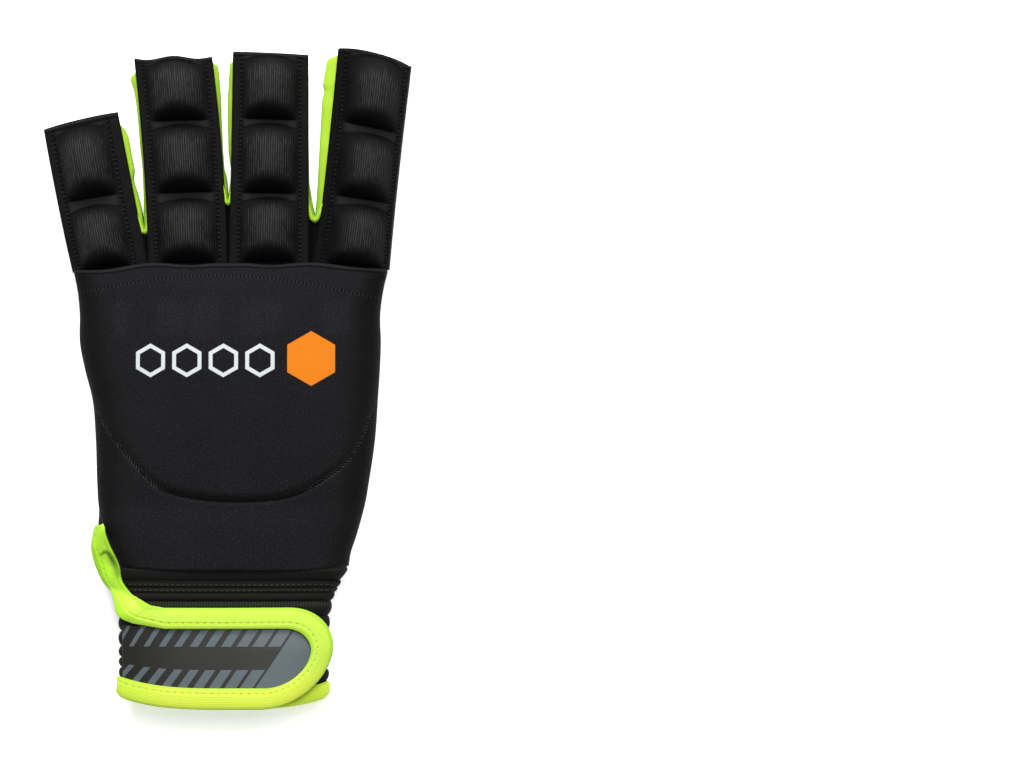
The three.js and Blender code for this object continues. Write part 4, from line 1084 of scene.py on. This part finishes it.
def rib_look(tree, surface, across, along):
    wales = wave(across, 0.8)
    rows = wave(along, 0.55)
    fuzz = noise(tree, surface, 2.6, 3.0, 0.6)
    colour = mix_colour(fuzz, (0.0036, 0.0036, 0.0033, 1), (0.0085, 0.0085, 0.0076, 1))
    x, y = plan(tree)
    height = wales * 0.25 + rows * 0.35 + fuzz * 0.4
    for row_y in DASH_ROWS:
        phase = (x / 1.75).math("FRACT")
        dash = phase.between(0.1, 0.25) * (1 - phase.between(0.7, 0.85))
        dash = dash * (1 - (y - row_y).math("ABSOLUTE").between(0.12, 0.34))
        colour = mix_colour(dash * 0.6, colour, (0.03, 0.031, 0.024, 1))
        height = height + dash * 1.2
    zigzag = (wave(x, 0.9) - 0.5) * 0.5
    dark = 1 - (y + 64.7 + zigzag).math("ABSOLUTE").between(0.3, 0.75)
    colour = mix_colour(dark * 0.75, colour, (0.0008, 0.0008, 0.0008, 1))
    combed = (y + 72.8).between(0.0, 0.3) * (1 - (y + 71.2).between(0.0, 0.3)) * wave(x, 0.95)
    colour = mix_colour(combed * 0.6, colour, (0.024, 0.028, 0.014, 1))
    return {"Base Color": colour, "Roughness": 0.8, "Specular IOR Level": 0.08}, height, 0.2


cuff_y = np.linspace(CUFF_TOP + 1.2, CUFF_BOTTOM, 190)[:, None]
cuff_turns = np.linspace(0, 2 * math.pi, 181)[None, :-1]
cuff_out = rib_depth(cuff_y) - 0.7 * ease(cuff_y, CUFF_TOP - 1.0, CUFF_TOP)
cuff_points = cuff_surface(cuff_turns, cuff_y, cuff_out)
cuff_points[..., 2] = np.maximum(cuff_points[..., 2], FLOOR_GAP)
cuff = cloth_piece("cuff_knit", cuff_points, walked(cuff_points), CUFF_WALL, wrap=True)
rib_material = finish_material("rib_knit", rib_look)
settle(cuff, rib_material, "wrist_cuff")


# Lower hem: a strip of bright cloth binding, folded over the cuff's lower edge from the outside to
# the inside and sewn through. It rises with the edge at both sides.
HEM_PROFILE = rows_of(
    "step down out",
    (0, 0.0, -0.6),
    (1, 0.25, 0.2),
    (2, 0.75, 0.1),
    (3, 1.0, -1.2),
    (4, 1.0, -2.2),
    (5, 0.75, -3.3),
    (6, 0.0, -3.5),
)


def binding_look(tree, surface, across, along):
    shade = noise(tree, surface, 0.12, 2.0)
    # The hem's lime is lighter than the strap binding's: painted light that makes up for the shade the hem
    # lies in.
    colour = mix_colour(shade, (0.525, 0.755, 0.048, 1), (0.6, 0.79, 0.066, 1))
    height = wave(across, 0.5) * 0.3 + noise(tree, surface, 1.8, 3.0) * 0.7
    return {"Base Color": colour, "Roughness": 0.65}, height, 0.08


hem_steps = np.linspace(0, 6, 37)[:, None]
hem_down = CUFF_BOTTOM - SEAM * 0.2 - HEM_WIDTH * read(HEM_PROFILE, "step", "down", hem_steps)
hem_points = cuff_surface(cuff_turns, hem_down, read(HEM_PROFILE, "step", "out", hem_steps))
hem_points[..., 2] = np.maximum(hem_points[..., 2], FLOOR_GAP)
hem = cloth_piece("hem_binding", hem_points, walked(hem_points), 0, wrap=True)
binding_material = finish_material("lime_binding_cloth", binding_look)
settle(hem, binding_material, "cuff_hem")


# Wrist strap: a stiff tab over the back of the cuff, from the left side seam to its rounded free
# end, with a rubber patch on top and bright binding round its edge.
STRAP_TOP = -73.4
STRAP_BOTTOM = -104.9
STRAP_WALL = 1.2
STRAP_PATCH_WALL = 0.8
STRAP_LIFT = 0.4
STRAP_END_X = 17.0
STRAP_END_REACH = 17.2
STRAP_SPREAD = 6.0
STRAP_BINDING_WIDTH = 6.0
STRAP_LEFT_ANGLE = math.radians(150)
STRIPE_PITCH = 4.96
STRIPE_BAND = 3.7
STRIPE_END = 49.6
PATCH_LEFT_ANGLE = math.radians(146.5)
STRAP_MIDDLE = (STRAP_TOP + STRAP_BOTTOM) / 2
STRAP_HALF = (STRAP_TOP - STRAP_BOTTOM) / 2


def strap_surface(angle, y, out):
    """A place on the strap. Its free end leans: the lower half ends earlier than the upper one."""
    spread = np.where(np.cos(angle) > 0, STRAP_SPREAD, 0.0)
    points = cuff_surface(angle, y, out, spread)
    low = points[..., 1] + 86.0
    lean = np.where(low < 0, 0.33, 0.24) * low * ease(points[..., 0], -2.0, 18.0)
    points[..., 0] += lean
    points[..., 2] += np.where(lean > 0, -0.35, 0.12) * np.abs(lean)
    return points


def strap_angle(x, out):
    left, right = (read(CUFF, "y", name, STRAP_MIDDLE) for name in ("left", "right"))
    middle = (left + right) / 2
    reach = (right - left) / 2 + out + np.where(x > middle, STRAP_SPREAD, 0.0)
    share = (x - middle) / reach
    return np.arccos(np.sign(share) * np.abs(share) ** (CUFF_POWER / 2))


def strap_layer(inset, out, start=STRAP_LEFT_ANGLE):
    """One layer of the strap whose outline lies inside the strap's by an inset."""
    end = strap_angle(np.array(STRAP_END_X), out)
    straight = np.linspace(start, end, 90)
    turns = np.radians(np.linspace(0, 88, 40))[1:]
    reach = STRAP_END_REACH - inset
    round_end = strap_angle(STRAP_END_X + reach * np.sin(turns), out)
    angle = np.concatenate([straight, round_end])[None, :]
    half = (STRAP_HALF - inset) * np.concatenate([np.ones(90), np.cos(turns)])[None, :]
    share = np.linspace(-1, 1, 41)[:, None]
    y = STRAP_MIDDLE + half * share
    points = strap_surface(np.broadcast_to(angle, y.shape), y, out)
    uv = walked(points)
    uv[..., 0] -= uv[..., 0][:, :1]
    uv[..., 1] = y - STRAP_MIDDLE
    return points, uv


def patch_look(tree, surface, across, along):
    slant = across - along * 0.66
    bars = slant / STRIPE_PITCH
    phase = bars.math("FRACT")
    share = (slant / STRIPE_END).math("MINIMUM", 1.0)
    bar = 1 - (phase - share * 0.54 - 0.32).between(-0.02, 0.02)
    bar = bar * phase.between(0.0, 0.03)
    inner_row = (along.math("ABSOLUTE") - STRIPE_BAND).between(-0.08, 0.08)
    end = (slant - STRIPE_END).between(-0.1, 0.1)
    stripes = (bar * inner_row * (1 - end)).math("MAXIMUM", end)
    speck = noise(tree, surface, 1.4, 3.0)
    dark = mix_colour(speck, (0.0075, 0.0076, 0.0066, 1), (0.011, 0.011, 0.0098, 1))
    grey = mix_colour(speck, (0.058, 0.073, 0.083, 1), (0.07, 0.087, 0.097, 1))
    colour = mix_colour(stripes, dark, grey)
    height = stripes * 0.6 + speck * 0.15
    return {"Base Color": colour, "Roughness": 0.48, "Specular IOR Level": 0.3}, height, 0.15


strap_points, strap_uv = strap_layer(0.8, STRAP_LIFT + STRAP_WALL)
strap = cloth_piece("strap_body", strap_points, strap_uv, STRAP_WALL)
settle(strap, band_material, "wrist_strap")
patch_out = STRAP_LIFT + STRAP_WALL + SEAM + STRAP_PATCH_WALL
patch_points, patch_uv = strap_layer(STRAP_BINDING_WIDTH - 0.6, patch_out, PATCH_LEFT_ANGLE)
patch = cloth_piece("strap_print", patch_points, patch_uv, STRAP_PATCH_WALL)
settle(patch, finish_material("strap_rubber_print", patch_look), "strap_patch")

SLIT_BINDING = rows_of(
    "step ox oy oz ix iy iz",
    (0, -41.2, -47.2, 11.9, -38.4, -46.7, 15.6),
    (1, -41.9, -50.6, 11.0, -38.0, -49.9, 16.0),
    (2, -42.4, -54.4, 10.8, -36.6, -53.8, 15.6),
    (3, -41.5, -58.9, 10.8, -33.9, -59.5, 15.0),
    (4, -39.2, -63.9, 11.2, -32.8, -64.6, 16.6),
    (5, -36.6, -67.5, 13.0, -30.6, -67.8, 18.0),
    (6, -35.2, -70.9, 16.8, -28.0, -70.4, 19.5),
    (7, -33.6, -75.6, 20.0, -24.5, -72.2, 22.2),
    (8, -29.0, -77.8, 21.4, -22.0, -72.8, 22.9),
)
STRAP_BINDING_START = -19.0
BINDING_WALL = 1.1
SLIT_FOLD = np.array([(-39.4, -56.2), (-37.7, -54.9), (-36.6, -55.9), (-35.2, -59.0), (-33.6, -62.6)])


def binding_grid():
    """The binding's rows across its width: down the slit, round the strap and back."""
    lift = STRAP_LIFT + STRAP_WALL + SEAM + BINDING_WALL
    share = np.linspace(0, 1, 25)
    steps = np.concatenate([np.linspace(0, 0.7, 14) ** 1.4, np.linspace(0.72, 8, 100)])
    inner = np.stack([read(SLIT_BINDING, "step", key, steps) for key in ("ix", "iy", "iz")], axis=1)
    outer = np.stack([read(SLIT_BINDING, "step", key, steps) for key in ("ox", "oy", "oz")], axis=1)
    blunt = np.clip(1 - steps / 0.4, 0, 1)
    width = np.maximum(np.sqrt(1 - blunt**2), 0.62)[:, None, None]
    spread = (outer - inner)[:, None, :] * (share[None, :, None] - 0.5) * width
    slit = (inner + outer)[:, None, :] / 2 + spread
    end = strap_angle(np.array(STRAP_END_X), lift)
    width = share * STRAP_BINDING_WIDTH

    def straight(angles, sign):
        angle, y = np.broadcast_arrays(angles[:, None], (STRAP_MIDDLE + sign * (STRAP_HALF - width))[None, :])
        return strap_surface(angle, y, lift)

    turns = np.radians(np.linspace(89, -89, 80))[:, None]
    x = STRAP_END_X + (STRAP_END_REACH - width)[None, :] * np.cos(turns)
    y = STRAP_MIDDLE + (STRAP_HALF - width)[None, :] * np.sin(turns)
    tip = strap_surface(strap_angle(x, lift), y, lift)
    start = strap_angle(np.array(STRAP_BINDING_START), lift)
    top = straight(np.linspace(start, end, 70), 1)
    bottom = straight(np.linspace(end, STRAP_LEFT_ANGLE, 100), -1)
    corner = np.clip((bottom[:, :, 0] - bottom[-1:, :, 0].mean()) / 2.6, 0, 1)
    bottom[:, :, 1] += 1.9 * (1 - np.sqrt(1 - (1 - corner) ** 2)) * (1 - share)[None, :] ** 2
    rows = np.concatenate([slit, top, tip, bottom])
    rows[..., 2] += 0.4 * (1 - np.abs(2 * share - 1) ** 3)[None, :] - 0.15
    return rows


def ribbon_look(tree, surface, across, along):
    fold_shade = painted(tree, "fold_shade")
    shade = noise(tree, surface, 0.3, 3.0)
    colour = mix_colour(shade, (0.362, 0.54, 0.045, 1), (0.405, 0.565, 0.062, 1))
    x, y = plan(tree)
    # Painted light: the binding's lowest run, below about y -100 mm, is a lighter, yellower lime.
    upper = y.between(-100.0, -88.0)
    colour = mix_colour(1 - upper, colour, (0.455, 0.553, 0.052, 1))
    # Painted shade: a greener lime on the binding's left part down the slit side, strongest on its upper run.
    turned = (1 - (x + y * 0.3 + 54.0).between(-4.0, 6.0)) * (upper * 0.7 + 0.3)
    colour = mix_colour(turned * 0.85, colour, (0.3, 0.6, 0.022, 1))
    # Painted shade: darker green along both edges, where the cushioned binding rolls down.
    rim = (across.math("ABSOLUTE") - STRAP_BINDING_WIDTH / 2).between(-0.75, -0.15)
    colour = mix_colour(rim * 0.6, colour, (0.2, 0.42, 0.012, 1))
    off_row = across - (STRAP_BINDING_WIDTH / 2 - 1.55)
    shaded_holes = dots(along, off_row, 2.3, 0.36)
    uneven = noise(tree, surface, 0.4, 1.0).between(0.35, 0.6)
    # Painted shade in the stitch holes, a darker green.
    colour = mix_colour(shaded_holes * (uneven * 0.3 + 0.08), colour, (0.16, 0.3, 0.02, 1))
    # Painted shade in the fold of the binding at the slit.
    colour = mix_colour(fold_shade, colour, (0.03, 0.075, 0.006, 1))
    row = 1 - off_row.math("ABSOLUTE").between(0.1, 0.6)
    height = wave(across, 0.5) * 0.2 + noise(tree, surface, 1.5, 3.0) * 0.8 - row * 0.6 - shaded_holes * 0.8
    return {"Base Color": colour, "Roughness": 0.65}, height, 0.12


binding_points = binding_grid()
binding_uv = walked(binding_points)
binding_uv[..., 1] = binding_uv[..., 1].mean(axis=1, keepdims=True)
binding = cloth_piece("edge_binding", binding_points[:, ::-1], binding_uv[:, ::-1], 0)
# Painted shade along the fold at the slit, fading further down.
fold_off, fold_run = beside(binding_points[..., 0], binding_points[..., 1], smooth_line(SLIT_FOLD))
fold_shade = np.exp(-((fold_off / (0.3 + 0.13 * fold_run)) ** 2)) * (1 - 0.3 * ease(fold_run, 5, 10))
paint_values(binding, "fold_shade", (fold_shade * 0.9)[:, ::-1])
modify(binding, "SOLIDIFY", thickness=BINDING_WALL * MM, offset=-1, use_even_offset=False)
settle(binding, finish_material("lime_ribbon", ribbon_look), "strap_binding")
